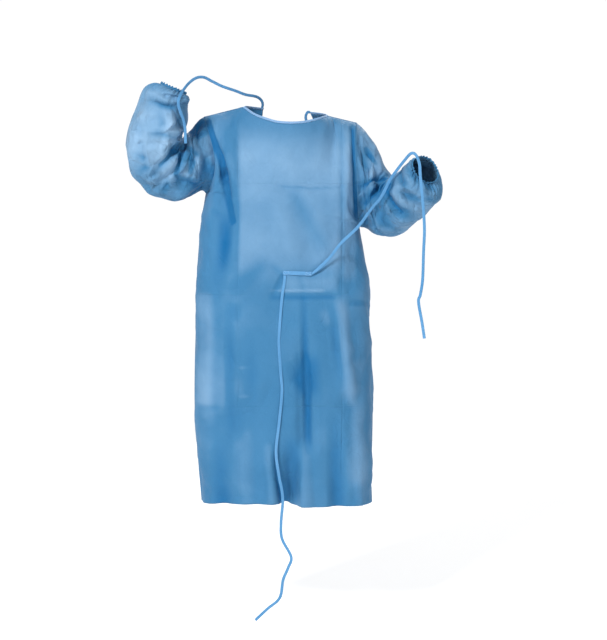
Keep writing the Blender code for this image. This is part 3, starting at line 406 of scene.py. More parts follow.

# How a nonwoven looks: its colours, linear, of which the fourth is a painted highlight and the fifth a
# painted shade, the pitch of its bond points, and how strong its sheen, its crumples, its packing lines
# and the tilts of its facets are
Nonwoven = namedtuple("Nonwoven", "colour dark light hazy deep dot_pitch sheen crumple packing tilts",
                      defaults=(0.0, 0.0, ()))
CLOTH = Nonwoven((0.047, 0.187, 0.364), (0.042, 0.176, 0.348), (0.053, 0.199, 0.382),
                 (0.262, 0.428, 0.620), (0.001, 0.112, 0.300), 0.0023, 0.07, 0.18, 0.7, BODY_TILTS)
SLEEVE_CLOTH = CLOTH._replace(crumple=0.7, packing=0.0, tilts=SLEEVE_TILTS)
TRIM = Nonwoven((0.094, 0.282, 0.535), (0.082, 0.260, 0.505), (0.115, 0.310, 0.570),
                (0.115, 0.310, 0.570), (0.082, 0.260, 0.505), 0.0016, 0.12)
EDGING = Nonwoven((0.210, 0.370, 0.600), (0.195, 0.350, 0.580), (0.235, 0.400, 0.630),
                  (0.235, 0.400, 0.630), (0.195, 0.350, 0.580), 0.0016, 0.12)
THREAD_COLOURS = ((0.27, 0.49, 0.76), (0.52, 0.72, 0.90))
THREAD_TWIST = 1500.0
THREAD_ROUGHNESS = 0.55
FLOOR_COLOURS = ((0.9207, 0.9207, 0.9207), (0.93, 0.93, 0.93))
FLOOR_MOTTLE = 2.0
FLOOR_ROUGHNESS = 0.8

# The nonwoven material: how fine its noises are, each bump as strength and height in metres, and
# from where to where each noise counts
CLOUD_SCALE = 9.0
CLOUD_RANGE = (0.32, 0.68)
PAINTED_LIGHT_RANGE = (0.30, 0.70)
PAINTED_LIGHT_UNEVEN = (0.75, 1.10)
SPECK_SCALE = 520.0
SPECK_RANGE = (0.3, 0.7)
SPECK_TONES = (0.80, 1.18)
SPECK_SHARE = 0.35
FIBRE_SCALE = (2600.0, 420.0, 1.0)
CRINKLE_SCALE = 34.0
FADING_SCALE = 7.0
FADING_RANGE = (0.40, 0.62)
DOT_RANGE = (0.35, 0.80)
DOT_SHADE = 0.80
DOT_SHARE = 0.45
DOT_ROUGHNESS = (0.64, 0.52)
DOT_BUMP = (0.5, 0.00025)
FIBRE_BUMP = (0.35, 0.00015)
CRINKLE_BUMP = (0.30, 0.0020)
SPECULAR = 0.13
SHEEN_ROUGHNESS = 0.45
SHEEN_TINT = (0.75, 0.87, 1.0, 1.0)
FACET_TURN = (0.3, 0.5, 0.2)
FACET_LONGER = 0.6

# Patches of painted highlight, or, where negative, of painted shade: middle, half sizes, turn in
# degrees, widths of the soft edges, and how much. Creases and facets get painted shade by their depth,
# and ridges and raised facets a painted highlight.
Patch = namedtuple("Patch", "x z half_x half_z turn soft_x soft_z pale")
FULL_SHADE = 0.012      # depth at which a crease gets its full painted shade
MOST_SHADE = 0.95       # the most painted shade that one crease puts on
RIDGE_SHADE = -0.14     # the most painted highlight that a ridge gets
FACET_SHADE = 22.0      # how much painted shade, or on a raised facet painted highlight, a facet gets for each metre of its depth
PAINTED_LIGHT_LIMITS = (-0.9, 1.0)
PAINTED_LIGHT_PATCHES = {
    "front": [
        Patch(0.009, -0.274, 0.148, 0.184, 0, 0.020, 0.110, 0.40),
        Patch(0.000, -0.120, 0.220, 0.110, 0, 0.080, 0.140, 0.14),
        Patch(-0.110, -0.475, 0.060, 0.016, 40, 0.040, 0.040, -0.22),
        Patch(0.060, -0.316, 0.016, 0.100, 31, 0.050, 0.060, -0.22),
        Patch(-0.239, -0.690, 0.022, 0.162, 0, 0.026, 0.024, 0.31),
        Patch(-0.195, -0.753, 0.023, 0.098, 0, 0.024, 0.050, 0.12),
        Patch(-0.163, -0.180, 0.020, 0.120, 0, 0.020, 0.080, -0.15),
        Patch(-0.179, -0.381, 0.017, 0.071, 0, 0.030, 0.060, -0.45),
        Patch(-0.226, -0.224, 0.012, 0.078, 0, 0.030, 0.060, 0.22),
        Patch(0.058, -0.762, 0.030, 0.052, 0, 0.034, 0.055, -0.75),
        Patch(0.016, -1.030, 0.022, 0.085, 0, 0.030, 0.050, -0.40),
        Patch(0.166, -0.695, 0.014, 0.140, 4, 0.034, 0.060, 0.28),
        Patch(0.112, -0.595, 0.012, 0.022, 25, 0.024, 0.030, 0.20),
        Patch(-0.152, -0.578, 0.014, 0.020, 0, 0.030, 0.030, -0.22),
        Patch(-0.143, -0.878, 0.016, 0.060, 0, 0.030, 0.050, -0.22),
        Patch(-0.120, -0.737, 0.018, 0.004, 0, 0.020, 0.012, 0.22),
        Patch(-0.120, -0.819, 0.018, 0.004, 0, 0.020, 0.012, 0.20),
        Patch(0.043, -0.536, 0.090, 0.005, 0, 0.020, 0.012, -0.50),
        Patch(0.030, -0.516, 0.075, 0.003, 0, 0.020, 0.008, 0.40),
        Patch(0.180, -0.275, 0.020, 0.210, 0, 0.020, 0.050, 0.35),
        Patch(0.060, -0.500, 0.070, 0.020, 0, 0.040, 0.030, 0.25),
        Patch(0.206, -0.900, 0.024, 0.180, 0, 0.030, 0.030, 0.22),
    ],
    "back_right": [
        Patch(-0.110, -0.290, 0.060, 0.220, 0, 0.040, 0.140, 0.30),
        Patch(-0.205, -0.700, 0.026, 0.150, 0, 0.050, 0.100, 0.20),
    ],
    "back_left": [
        Patch(0.110, -0.300, 0.050, 0.210, 0, 0.040, 0.140, 0.28),
        Patch(0.185, -0.720, 0.026, 0.140, 0, 0.050, 0.100, 0.18),
    ],
    "sleeve_right": [
        Patch(-0.400, -0.100, 0.100, 0.150, 0, 0.080, 0.100, 0.38),
        Patch(-0.380, -0.050, 0.080, 0.110, 0, 0.080, 0.080, 0.36),
        Patch(-0.310, -0.175, 0.060, 0.030, 20, 0.030, 0.030, 0.20),
        Patch(-0.243, -0.115, 0.030, 0.045, 0, 0.030, 0.040, 0.28),
    ],
    "sleeve_left": [
        Patch(0.320, -0.200, 0.150, 0.180, 0, 0.100, 0.100, 0.20),
        Patch(0.240, -0.120, 0.030, 0.090, 15, 0.035, 0.050, 0.30),
        Patch(0.350, -0.260, 0.060, 0.020, -20, 0.025, 0.025, 0.30),
    ],
}

# Creases picked in the photograph, in its pixels and with depths in millimetres: form, half width,
# points as pixel column, pixel row and depth, and the strength of its painted shade where it isn't the
# piece's own
Seen = namedtuple("Seen", "form half_width points shade", defaults=(None,))
SEEN_FRONT = [
    Seen("sharp", 2.2, [(238, 150, 0), (238, 170, 1.5), (238, 230, 2.0), (237.5, 260, 1.2), (237, 280, 0)]),
    Seen("sharp", 2.2, [(342, 128, 0.8), (342, 180, 2.0), (342, 240, 2.2), (341, 285, 1.2), (340, 305, 0)]),
    Seen("sharp", 1.8, [(232, 113, 0.5), (232, 124, 1.6), (233, 136, 0)]),
    Seen("step", 3.0, [(276, 184, 0), (285, 186, 2.0), (312, 188, 2.2), (335, 187, 1.2), (356, 184, 0)]),
    Seen("sharp", 2.4, [(266, 295, 0), (280, 295, 1.6), (305, 296, 1.9), (330, 295, 1.5), (347, 294, 0)]),
    Seen("sharp", 2.4, [(195, 407, 1.0), (212, 408, 1.7), (230, 409, 0)]),
    Seen("soft", 3.2, [(348, 304, 0), (357, 304, 2.2), (367, 305, 1.0)]),
    Seen("soft", 3.0, [(208, 209, 0), (216, 214, 1.6), (225, 218, 0)]),
    Seen("fold", 4.2, [(206, 122, 4), (211, 138, 5), (218, 155, 5), (222.5, 170, 5), (226, 194, 4),
         (231.5, 221, 3)], 4.0),
    Seen("soft", 6.0, [(226, 150, 0), (235, 180, -3.0), (239, 205, 0)]),
    Seen("soft", 8.0, [(228, 222, 1.5), (224, 245, 3.0), (219, 275, 2.0), (216, 300, 0)]),
    Seen("sharp", 3.6, [(354, 128, 3), (354.5, 150, 5.5), (356, 178, 7), (358, 200, 6),
         (358, 218, 2)], 1.8),
    Seen("fold", 1.8, [(353.5, 128, 2), (354, 150, 3), (355, 178, 3), (356.5, 200, 3),
         (357.5, 216, 1)], 3.0),
    Seen("soft", 5.0, [(349, 140, 0), (348, 165, -2.5), (349, 195, -2.5), (351, 220, 0)]),
    Seen("sharp", 2.2, [(340, 114, 0.6), (337, 120, 1.8), (334, 126, 0)]),
    Seen("sharp", 2.6, [(341, 128, 0), (346, 140, 1.8), (343, 151, 0)]),
    Seen("soft", 13, [(284, 178, 0), (298, 210, 1.6), (309, 240, 1.8), (317, 268, 0)], 0.5),
    Seen("soft", 9, [(344, 205, 0), (341, 235, -2.5), (340, 262, -3.0), (339, 300, -1.0)]),
    Seen("sharp", 2.8, [(312, 275, 1.6), (322, 266, 2.2), (334, 254, 0)]),
    Seen("sharp", 2.4, [(283, 275, 1.4), (275, 268, 1.6), (266, 262, 0)]),
    Seen("soft", 3.4, [(283, 277, 1.6), (277, 288, 1.8), (271, 300, 0)]),
    Seen("sharp", 2.2, [(300, 277, 0.8), (303, 288, 1.4), (305, 300, 0)]),
    Seen("soft", 4.0, [(304, 300, 1.0), (305, 350, 3), (307, 378, 4.5), (307.5, 402, 4.5),
         (308, 436, 3.0), (309, 456, 0)], 1.6),
    Seen("soft", 9.0, [(290, 360, 0), (298, 378, 3.5), (313, 392, 0)]),
    Seen("soft", 6.0, [(340, 296, 0), (345, 340, -4.0), (352, 388, -3.0), (354, 410, 0)]),
    Seen("soft", 4.0, [(331, 300, 0), (336, 345, 2.2), (342, 390, 0)]),
    Seen("soft", 5.0, [(229, 300, 0), (229.5, 350, 2.2), (230, 408, 2.0), (229, 460, 0)]),
    Seen("soft", 6.0, [(212, 300, 0), (210, 360, -2.4), (209, 405, -2.0), (210, 430, 0)]),
    Seen("sharp", 4.0, [(276, 440, 0), (276.5, 458, 3.0), (279, 478, 6.0), (283, 500, 8.0)]),
    Seen("soft", 5.0, [(268, 440, 0), (269, 465, -3.5), (272, 500, -5.0)]),
    Seen("soft", 7.0, [(303, 440, 0), (304, 470, -3.0), (306, 504, -4.0)]),
    Seen("soft", 8.0, [(335, 410, 0), (336, 455, 3.5), (337, 506, 4.0)]),
    Seen("soft", 6.0, [(358, 400, 0), (360, 450, -3.0), (361, 506, -3.0)]),
    Seen("soft", 7.0, [(250, 330, 0), (252, 380, 1.8), (250, 430, 0)]),
    Seen("soft", 9.0, [(222, 430, 0), (221, 465, 3.0), (221, 502, 4.0)]),
    Seen("soft", 9.0, [(243, 420, 0), (245, 465, -3.0), (246, 502, -3.5)]),
    Seen("soft", 14.0, [(258, 140, 0), (262, 165, 1.2), (256, 180, 0)], 0.2),
    Seen("soft", 10.0, [(318, 130, 0), (324, 155, -1.4), (322, 180, 0)], 0.2),
    Seen("soft", 10.0, [(252, 196, 0), (258, 230, -1.4), (252, 270, 0)], 0.2),
]
SEEN_SLEEVE_RIGHT = [
    Seen("soft", 4.0, [(150, 93, -2), (165, 101, -3), (172, 104, -3), (178, 100, 0)]),
    Seen("sharp", 3.6, [(151, 100, 1), (163, 105, 3.5), (172, 107, 3.5), (181, 109, 0)]),
    Seen("sharp", 3.4, [(146, 135, 0), (158, 134, 3.0), (170, 136, 3.0), (180, 139, 0)]),
    Seen("sharp", 4.0, [(181, 146, 2.5), (173, 149, 3.5), (162, 154, 0)]),
    Seen("sharp", 4.2, [(180, 149, 2), (171, 156, 4.0), (160, 167, 2.5), (151, 179, 0)]),
    Seen("sharp", 4.4, [(184, 151, 2.5), (181, 160, 4.5), (176, 172, 4.0), (180, 184, 1.5), (183, 190, 0)]),
    Seen("sharp", 4.0, [(187, 152, 2), (188, 160, 3.5), (188, 170, 0)]),
    Seen("soft", 5.0, [(181, 152, -4), (166, 168, -3.5), (147, 189, 0)]),
    Seen("soft", 4.4, [(186, 154, -4), (182, 166, -3.5), (179, 176, 0)]),
    Seen("soft", 4.4, [(181, 173, -2), (192, 178, -4), (206, 184, 0)]),
    Seen("sharp", 3.6, [(180, 178, 0), (192, 183, 3.5), (203, 188, 0)]),
    Seen("sharp", 3.0, [(189, 151, 3.0), (195, 154, 3.0), (200, 156, 0)]),
    Seen("sharp", 3.0, [(202, 157, 0), (205, 169, 3.0), (207, 182, 0)]),
    Seen("sharp", 3.4, [(206, 159, 1), (211, 171, 3.5), (213, 182, 3.0), (211, 191, 0)]),
    Seen("sharp", 3.4, [(187, 131, 3), (193, 126, 2.5), (202, 120, 0)]),
    Seen("sharp", 3.2, [(188, 133, 3), (197, 133, 3.5), (209, 129, 2)]),
    Seen("soft", 7.0, [(138, 110, 0), (146, 124, -3.0), (142, 142, 0)]),
    Seen("sharp", 3.6, [(131, 152, 0), (142, 158, 2.5), (152, 158, 0)]),
    Seen("sharp", 3.4, [(160, 113, 0), (163, 124, 2.2), (158, 133, 0)]),
    Seen("soft", 5.0, [(168, 112, -1), (173, 124, -3), (172, 133, 0)]),
    Seen("sharp", 3.0, [(136, 172, 0), (145, 168, 2.2), (155, 168, 0)]),
    Seen("sharp", 3.0, [(160, 196, 0), (166, 188, 2.5), (168, 178, 0)]),
    Seen("soft", 4.0, [(192, 160, 0), (196, 168, -3.0), (197, 178, 0)]),
    Seen("fold", 4.6, [(189, 130, 3), (197, 123.5, 3), (206, 120, 2.5)], 4.0),
    Seen("fold", 2.4, [(180, 155, 2), (178, 162, 3), (175, 174, 1)], 3.0),
    Seen("fold", 2.2, [(178, 150, 2), (170, 154, 3), (160, 165, 1)], 3.0),
    Seen("fold", 2.2, [(188, 154, 2), (191, 162, 3), (189, 172, 1)], 3.0),
]
SEEN_SLEEVE_LEFT = [
    Seen("sharp", 3.2, [(400, 172, 1), (404, 182, 3.0), (411, 196, 0)]),
    Seen("sharp", 3.0, [(408, 167, 1), (413, 177, 2.8), (420, 188, 0)]),
    Seen("sharp", 3.6, [(401, 192, 2), (410, 197, 4.5), (421, 203, 1)]),
    Seen("soft", 4.0, [(392, 184, 0), (404, 187, -2.5), (416, 194, 0)]),
    Seen("sharp", 4.0, [(388, 189, 3), (391, 199, 5), (399, 211, 5), (410, 216, 1)]),
    Seen("soft", 5.0, [(382, 200, 0), (390, 213, -4), (402, 221, -3), (413, 221, 0)]),
    Seen("soft", 4.0, [(375, 221, -1), (381, 229, -3), (391, 233, -1)]),
    Seen("sharp", 3.4, [(376, 214, 0), (383, 223, 3.0), (394, 228, 1)]),
    Seen("sharp", 4.6, [(389, 182, 3), (380, 188, 4.5), (370, 199, 4), (362, 211, 0)]),
    Seen("sharp", 4.2, [(388, 187, 2.5), (381, 197, 4.0), (376, 211, 0)]),
    Seen("sharp", 4.0, [(388, 178, 4), (377, 180, 4), (364, 186, 1)]),
    Seen("soft", 4.4, [(386, 190, -3), (375, 202, -4), (367, 216, 0)]),
    Seen("soft", 4.4, [(384, 182, -3), (372, 188, -4), (361, 198, 0)]),
    Seen("sharp", 3.2, [(369, 144, 0), (372, 153, 3.0), (376, 163, 0)]),
    Seen("soft", 4.0, [(361, 130, -1), (361, 158, -3), (361, 186, 0)]),
    Seen("sharp", 3.0, [(365, 150, 0), (368, 162, 2.5), (374, 172, 0)]),
    Seen("sharp", 3.0, [(360, 216, 0), (366, 223, 2.6), (373, 230, 0)]),
    Seen("sharp", 2.8, [(421, 178, 0), (428, 186, 2.4), (437, 192, 0)]),
    Seen("sharp", 2.8, [(418, 198, 0), (428, 199, 2.4), (437, 203, 0)]),
    Seen("fold", 2.6, [(389, 182, 3), (378, 190, 3), (366, 205, 1)], 5.0),
    Seen("fold", 2.0, [(388, 178, 3), (376, 180, 3), (363, 187, 1)], 5.0),
    Seen("fold", 2.0, [(389, 192, 2), (393, 203, 3), (402, 213, 1)], 5.0),
    Seen("fold", 1.8, [(369, 146, 1), (373, 155, 3), (377, 164, 1)], 4.0),
]

# How much wider and deeper than it was picked a crease is on the cloth
Gain = namedtuple("Gain", "width depth")
FOLD_GAIN = Gain(1.0, 1.0)
SOFT_GAIN = Gain(1.5, 1.9)
SLEEVE_GAIN = Gain(1.6, 1.7)
FINE_GAIN = Gain(2.2, 1.1)  # for the body's sharp creases under FINE_WIDTH pixels
BODY_GAIN = Gain(1.5, 1.5)
FINE_WIDTH = 3.5

# The pieces whose creases were picked: their creases, how far forward they lie, and their painted shade
SeenPiece = namedtuple("SeenPiece", "creases y shade is_sleeve")
SEEN_PIECES = {
    "front": SeenPiece(SEEN_FRONT, -0.135, 1.0, False),
    "sleeve_right": SeenPiece(SEEN_SLEEVE_RIGHT, -0.15, 1.5, True),
    "sleeve_left": SeenPiece(SEEN_SLEEVE_LEFT, -0.20, 1.5, True),
}
# Like creases on the sides that the photograph hides
CREASES_SLEEVE_RIGHT_BACK = [
    Crease("sharp", 0.012, [(-0.3, -0.09, 0.006), (-0.335, -0.115, 0.004), (-0.37, -0.125, 0.0)]),
    Crease("sharp", 0.013, [(-0.298, -0.095, 0.006), (-0.318, -0.15, 0.005), (-0.345, -0.205, 0.0)]),
    Crease("soft", 0.014, [(-0.302, -0.105, -0.004), (-0.345, -0.155, -0.004), (-0.4, -0.205, 0.0)]),
    Crease("sharp", 0.01, [(-0.29, -0.06, 0.004), (-0.33, -0.05, 0.004), (-0.38, -0.06, 0.0)]),
    Crease("sharp", 0.01, [(-0.43, -0.12, 0.0), (-0.395, -0.11, 0.003), (-0.37, -0.085, 0.0)]),
    Crease("soft", 0.016, [(-0.26, -0.06, 0.0), (-0.3, -0.13, 0.003), (-0.31, -0.2, 0.0)]),
]
CREASES_SLEEVE_LEFT_BACK = [
    Crease("sharp", 0.012, [(0.3, -0.2, 0.006), (0.28, -0.235, 0.005), (0.265, -0.29, 0.0)]),
    Crease("sharp", 0.012, [(0.305, -0.198, 0.005), (0.32, -0.24, 0.004), (0.325, -0.29, 0.0)]),
    Crease("soft", 0.014, [(0.302, -0.205, -0.004), (0.3, -0.25, -0.004), (0.29, -0.32, 0.0)]),
    Crease("sharp", 0.01, [(0.33, -0.18, 0.003), (0.37, -0.225, 0.003), (0.39, -0.27, 0.0)]),
    Crease("soft", 0.016, [(0.23, -0.09, 0.0), (0.255, -0.17, 0.004), (0.27, -0.25, 0.0)]),
]
CREASES_BACK_RIGHT = [
    Crease("sharp", 0.007, [(-0.14, -0.15, 0.0), (-0.14, -0.26, 0.0018), (-0.138, -0.48, 0.0)]),
    Crease("sharp", 0.007, [(-0.25, -0.53, 0.0), (-0.15, -0.531, 0.0018), (-0.06, -0.529, 0.0)]),
    Crease("sharp", 0.007, [(-0.255, -0.852, 0.0), (-0.15, -0.853, 0.0016), (-0.055, -0.85, 0.0)]),
    Crease("sharp", 0.014, [(-0.21, -0.06, 0.003), (-0.19, -0.15, 0.006), (-0.15, -0.26, 0.0)]),
    Crease("soft", 0.03, [(-0.22, -0.45, 0.0), (-0.215, -0.7, 0.004), (-0.2, -1.15, 0.003)]),
    Crease("soft", 0.022, [(-0.11, -0.56, 0.0), (-0.115, -0.8, -0.004), (-0.118, -1.15, -0.004)]),
]
CREASES_BACK_LEFT = [
    Crease("sharp", 0.007, [(0.15, -0.15, 0.0), (0.15, -0.26, 0.0018), (0.148, -0.48, 0.0)]),
    Crease("sharp", 0.007, [(0.22, -0.528, 0.0), (0.14, -0.53, 0.0018), (0.06, -0.531, 0.0)]),
    Crease("sharp", 0.007, [(0.23, -0.85, 0.0), (0.14, -0.852, 0.0016), (0.055, -0.853, 0.0)]),
    Crease("sharp", 0.014, [(0.19, -0.08, 0.003), (0.165, -0.17, 0.006), (0.13, -0.27, 0.0)]),
    Crease("soft", 0.03, [(0.19, -0.45, 0.0), (0.195, -0.7, 0.004), (0.19, -1.15, 0.003)]),
    Crease("soft", 0.022, [(0.1, -0.56, 0.0), (0.108, -0.8, -0.004), (0.106, -1.15, -0.004)]),
]
CREASES_HIDDEN = {
    "back_right": CREASES_BACK_RIGHT, "sleeve_right_back": CREASES_SLEEVE_RIGHT_BACK,
    "back_left": CREASES_BACK_LEFT, "sleeve_left_back": CREASES_SLEEVE_LEFT_BACK,
}


def unit(vectors):
    """Each vector at length one."""
    vectors = np.asarray(vectors, dtype=float)
    lengths = np.linalg.norm(vectors, axis=-1, keepdims=True)
    return vectors / np.maximum(lengths, 1e-12)


def between(p0, p1, p2, p3, t):
    """Points of a smooth curve on its way from p1 to p2, with the points before and after them."""
    return 0.5 * (2 * p1 + (p2 - p0) * t + (2 * p0 - 5 * p1 + 4 * p2 - p3) * t ** 2
                  + (3 * p1 - p0 - 3 * p2 + p3) * t ** 3)


def eased(share):
    """A share from 0 to 1 that starts and ends slowly."""
    return share ** 2 * (3 - 2 * share)


def smooth_curve(points, count):
    """A curve through the points, given back as count + 1 points at even distances."""
    points = np.asarray(points, dtype=float)
    framed = np.vstack([2 * points[0] - points[1], points, 2 * points[-1] - points[-2]])
    steps = np.linspace(0.0, 1.0, CURVE_STEPS, endpoint=False)[:, None]
    fine = [between(*framed[index - 1:index + 3], steps) for index in range(1, len(framed) - 2)]
    return spread(np.vstack(fine + [points[-1:]]), count)


def spread(fine, count):
    """A fine line sampled again as count + 1 points at even distances."""
    lengths = np.linalg.norm(np.diff(fine[:, :3], axis=0), axis=1)
    along = np.concatenate([[0.0], np.cumsum(lengths)])
    wanted = np.linspace(0.0, along[-1], count + 1)
    return np.stack([np.interp(wanted, along, fine[:, axis]) for axis in range(fine.shape[1])], axis=1)


def level_at(height):
    """The body's level section at a height, between the rows of the table."""
    heights = [level.height for level in LEVELS]
    return Level(height, *[np.interp(height, heights, [level[item] for level in LEVELS])
                           for item in range(1, 5)])


def fold_depth(places, folds):
    """How far in each place lies, added up over all folds."""
    depth = np.zeros(places.shape[:-1])
    for fold in folds:
        start = np.array([fold.from_a, fold.from_b])
        run = np.array([fold.to_a, fold.to_b]) - start
        share = np.clip(((places - start) @ run) / (run @ run), 0.0, 1.0)
        away = np.linalg.norm(places - start - share[..., None] * run, axis=-1)
        across = np.cos(np.clip(away / fold.half_width, 0.0, 1.0) * math.pi / 2) ** 2
        depth += across * (fold.from_depth + share * (fold.to_depth - fold.from_depth))
    return depth


def grid_normals(grid, closed=False):
    """Unit normals of a grid of points, as the cross product of its two directions."""
    if closed:
        across = np.roll(grid, -1, axis=1) - np.roll(grid, 1, axis=1)
    else:
        across = np.gradient(grid, axis=1)
    return unit(np.cross(across, np.gradient(grid, axis=0)))


def side_seam(armpit, side):
    """Points of one side seam from the hem up to the armpit."""
    heights = np.linspace(HEM_SIDE, armpit[2], ROWS_SKIRT + 1)
    at_armpit = getattr(level_at(armpit[2]), side)
    seam = []
    for height in heights:
        share = (height - HEM_SIDE) / (armpit[2] - HEM_SIDE)
        x = getattr(level_at(height), side) + (armpit[0] - at_armpit) * share ** 3
        seam.append((x, SIDE_SEAM_Y + share * (armpit[1] - SIDE_SEAM_Y), height))
    return np.array(seam)


def edge_with_armhole(armpit, armhole, shoulder, side):
    """One outer edge of a panel: the side seam, then its half of the armhole."""
    above = smooth_curve([armpit, *armhole, shoulder], ROWS_ARMHOLE)
    return np.vstack([side_seam(armpit, side), above[1:]])


def half_ring(start, end, depth, squareness, count):
    """A level section from one side seam to the other, round the front or the back."""
    angle = np.linspace(0.0, math.pi, HALF_RING_POINTS)
    across = -np.sign(np.cos(angle)) * np.abs(np.cos(angle)) ** (2 / squareness)
    out = np.sin(angle) ** (2 / squareness)
    share = (across[:, None] + 1) / 2
    fine = start + (end - start) * share
    fine[:, 1] = fine[:, 1] * (1 - out) + depth * out
    return spread(fine, count)


def level_rows(starts, ends, row_of):
    """Level rows from the hem upwards, each made by row_of from its two side points."""
    return [row_of(start, end, (start[2] + end[2]) / 2) for start, end in zip(starts, ends)]


def upper_rows(levels, top, turn, neck_y, neck_slope, edges):
    """Rows above the armpit's up to the top edge. The first are the given level rows. From there
    the columns rise and arrive square to the top edge, sloped as the cloth lies there. turn is 1
    or -1, for the side of the edge that the panel is on. The outer columns follow the armholes,
    given as their points, their column and each column's share of the width away from it."""
    ring = levels[ROWS_LEVEL]
    along = unit(np.gradient(top[:, :2], axis=0))
    level = turn * np.stack([-along[:, 1], along[:, 0]], axis=1)
    for _ in range(CORNER_SMOOTHING):
        level[1:-1] = unit(level[:-2] + 2 * level[1:-1] + level[2:])
    near_neck = np.clip((top[:, 1] - top[0, 1]) / (neck_y - top[0, 1]), 0.0, 1.0)
    slope = np.radians(SLOPE_AT_SHOULDER + (neck_slope - SLOPE_AT_SHOULDER) * near_neck)
    arrive = RISE_LENGTH * np.stack([level[:, 0] * np.cos(slope), level[:, 1] * np.cos(slope),
                                     np.sin(slope)], axis=1)
    leave = RISE_LENGTH * np.array([0.0, 0.0, 1.0])
    rows = []
    for t in np.linspace(0.0, 1.0, ROWS_ARMHOLE - ROWS_LEVEL + 1)[1:]:
        rows.append(ring * (2 * t ** 3 - 3 * t ** 2 + 1) + leave * (t ** 3 - 2 * t ** 2 + t)
                    + top * (3 * t ** 2 - 2 * t ** 3) + arrive * (t ** 3 - t ** 2))
    rows = np.array(rows)
    for edge, column, away in edges:
        fade = np.clip(1 - away / ARMHOLE_REACH, 0.0, 1.0) ** 2
        rows = rows + fade[:, None] * (edge[ROWS_LEVEL:] - rows[:, column])[:, None]
    return levels[1:ROWS_LEVEL + 1] + list(rows)


def front_grid():
    """The front panel's outer face before its folds."""
    right = edge_with_armhole(ARMPIT_RIGHT, ARMHOLE_RIGHT_FRONT, SHOULDER_RIGHT, "right")
    left = edge_with_armhole(ARMPIT_LEFT, ARMHOLE_LEFT_FRONT, SHOULDER_LEFT, "left")
    top = np.vstack([
        smooth_curve([SHOULDER_RIGHT, NECK_RIGHT], COLUMNS_SHOULDER)[:-1],
        smooth_curve([NECK_RIGHT, *NECKLINE_FRONT, NECK_LEFT], COLUMNS_NECK_FRONT),
        smooth_curve([NECK_LEFT, SHOULDER_LEFT], COLUMNS_SHOULDER)[1:]])
    columns = len(top) - 1

    def row_of(start, end, height):
        row = half_ring(start, end, level_at(height).front, FRONT_SQUARENESS, columns)
        climb = (start[2] - HEM_SIDE) / (ARMPIT_RIGHT[2] - HEM_SIDE)
        row[:, 2] += hem_lift(row[:, 0]) * max(0.0, 1 - climb) ** 2
        return row

    levels = level_rows(right, left, row_of)
    share = np.linspace(0.0, 1.0, columns + 1)
    edges = [(right[ROWS_SKIRT + 1:], 0, share), (left[ROWS_SKIRT + 1:], -1, 1 - share)]
    neck_y = min(point[1] for point in NECKLINE_FRONT)
    return np.array(levels[:ROWS_SKIRT + 1]
                    + upper_rows(levels[ROWS_SKIRT:], top, 1, neck_y, SLOPE_AT_NECK_FRONT, edges))


def hem_lift(x):
    """How far the front hem is lifted at x, nothing at the side seams."""
    lift = np.where(x < 0, HEM_FRONT_RIGHT, HEM_FRONT_LEFT)
    return lift * np.cos(np.clip(x / HEM_HALF_WIDTH, -1.0, 1.0) * math.pi / 2) ** 0.5


def back_grid(side):
    """One back panel's outer face before its folds, from the side seam to the open edge."""
    right = edge_with_armhole(ARMPIT_RIGHT, ARMHOLE_RIGHT_BACK, SHOULDER_RIGHT, "right")
    left = edge_with_armhole(ARMPIT_LEFT, ARMHOLE_LEFT_BACK, SHOULDER_LEFT, "left")
    if side == "right":
        edge, other = right, left
        neckline = [NECK_RIGHT, *NECKLINE_BACK_RIGHT, BACK_CORNER_RIGHT]
        shoulder, hem_x = SHOULDER_RIGHT, BACK_EDGE_RIGHT_HEM
    else:
        edge, other = left, right
        neckline = [NECK_LEFT, *NECKLINE_BACK_LEFT, BACK_CORNER_LEFT]
        shoulder, hem_x = SHOULDER_LEFT, BACK_EDGE_LEFT_HEM
    corner = neckline[-1]
    top = np.vstack([smooth_curve([shoulder, neckline[0]], COLUMNS_SHOULDER)[:-1],
                     smooth_curve(neckline, COLUMNS_NECK_BACK)])
    columns = len(top) - 1

    def row_of(start, end, height):
        climb = (height - HEM_SIDE) / (corner[2] - HEM_SIDE)
        edge_x = hem_x + (corner[0] - hem_x) * climb
        ring = half_ring(start, end, level_at(height).back, BACK_SQUARENESS, BACK_RING_POINTS)
        kept = ring[np.abs(ring[:, 0] - start[0]) <= abs(edge_x - start[0])]
        return spread(kept, columns)

    levels = level_rows(edge, other, row_of)
    share = np.linspace(0.0, 1.0, columns + 1)
    turn = -1 if side == "right" else 1
    return np.array(levels[:ROWS_SKIRT + 1]
                    + upper_rows(levels[ROWS_SKIRT:], top, turn, corner[1], SLOPE_AT_NECK_BACK,
                                 [(edge[ROWS_SKIRT + 1:], 0, share)]))


def seam_fade(count, step, reach, start=True, end=True):
    """Weights that leave a seam edge where it is and let the cloth move within reach of it."""
    away = np.full(count, float(reach))
    if start:
        away = np.minimum(away, np.arange(count) * step)
    if end:
        away = np.minimum(away, np.arange(count)[::-1] * step)
    return eased(away / reach)


def folded(grid, folds, inward, both_sides):
    """A body panel pushed in along its folds. Seam edges stay where they are."""
    depth = fold_depth(grid[..., [0, 2]], folds)
    depth *= seam_fade(grid.shape[1], 1, EDGE_TAPER_STEPS, end=both_sides)
    depth *= seam_fade(grid.shape[0], 1, EDGE_TAPER_STEPS, start=False)[:, None]
    return grid + inward * depth[..., None]


def section_values(sections, number):
    """The sleeve's section at a number between the rows of its table."""
    table = np.array(sections)
    low = int(np.clip(math.floor(number), 0, len(table) - 2))
    p1, p2 = table[low], table[low + 1]
    p0 = table[low - 1] if low > 0 else 2 * p1 - p2
    p3 = table[low + 2] if low + 2 < len(table) else 2 * p2 - p1
    return between(p0, p1, p2, p3, number - low)


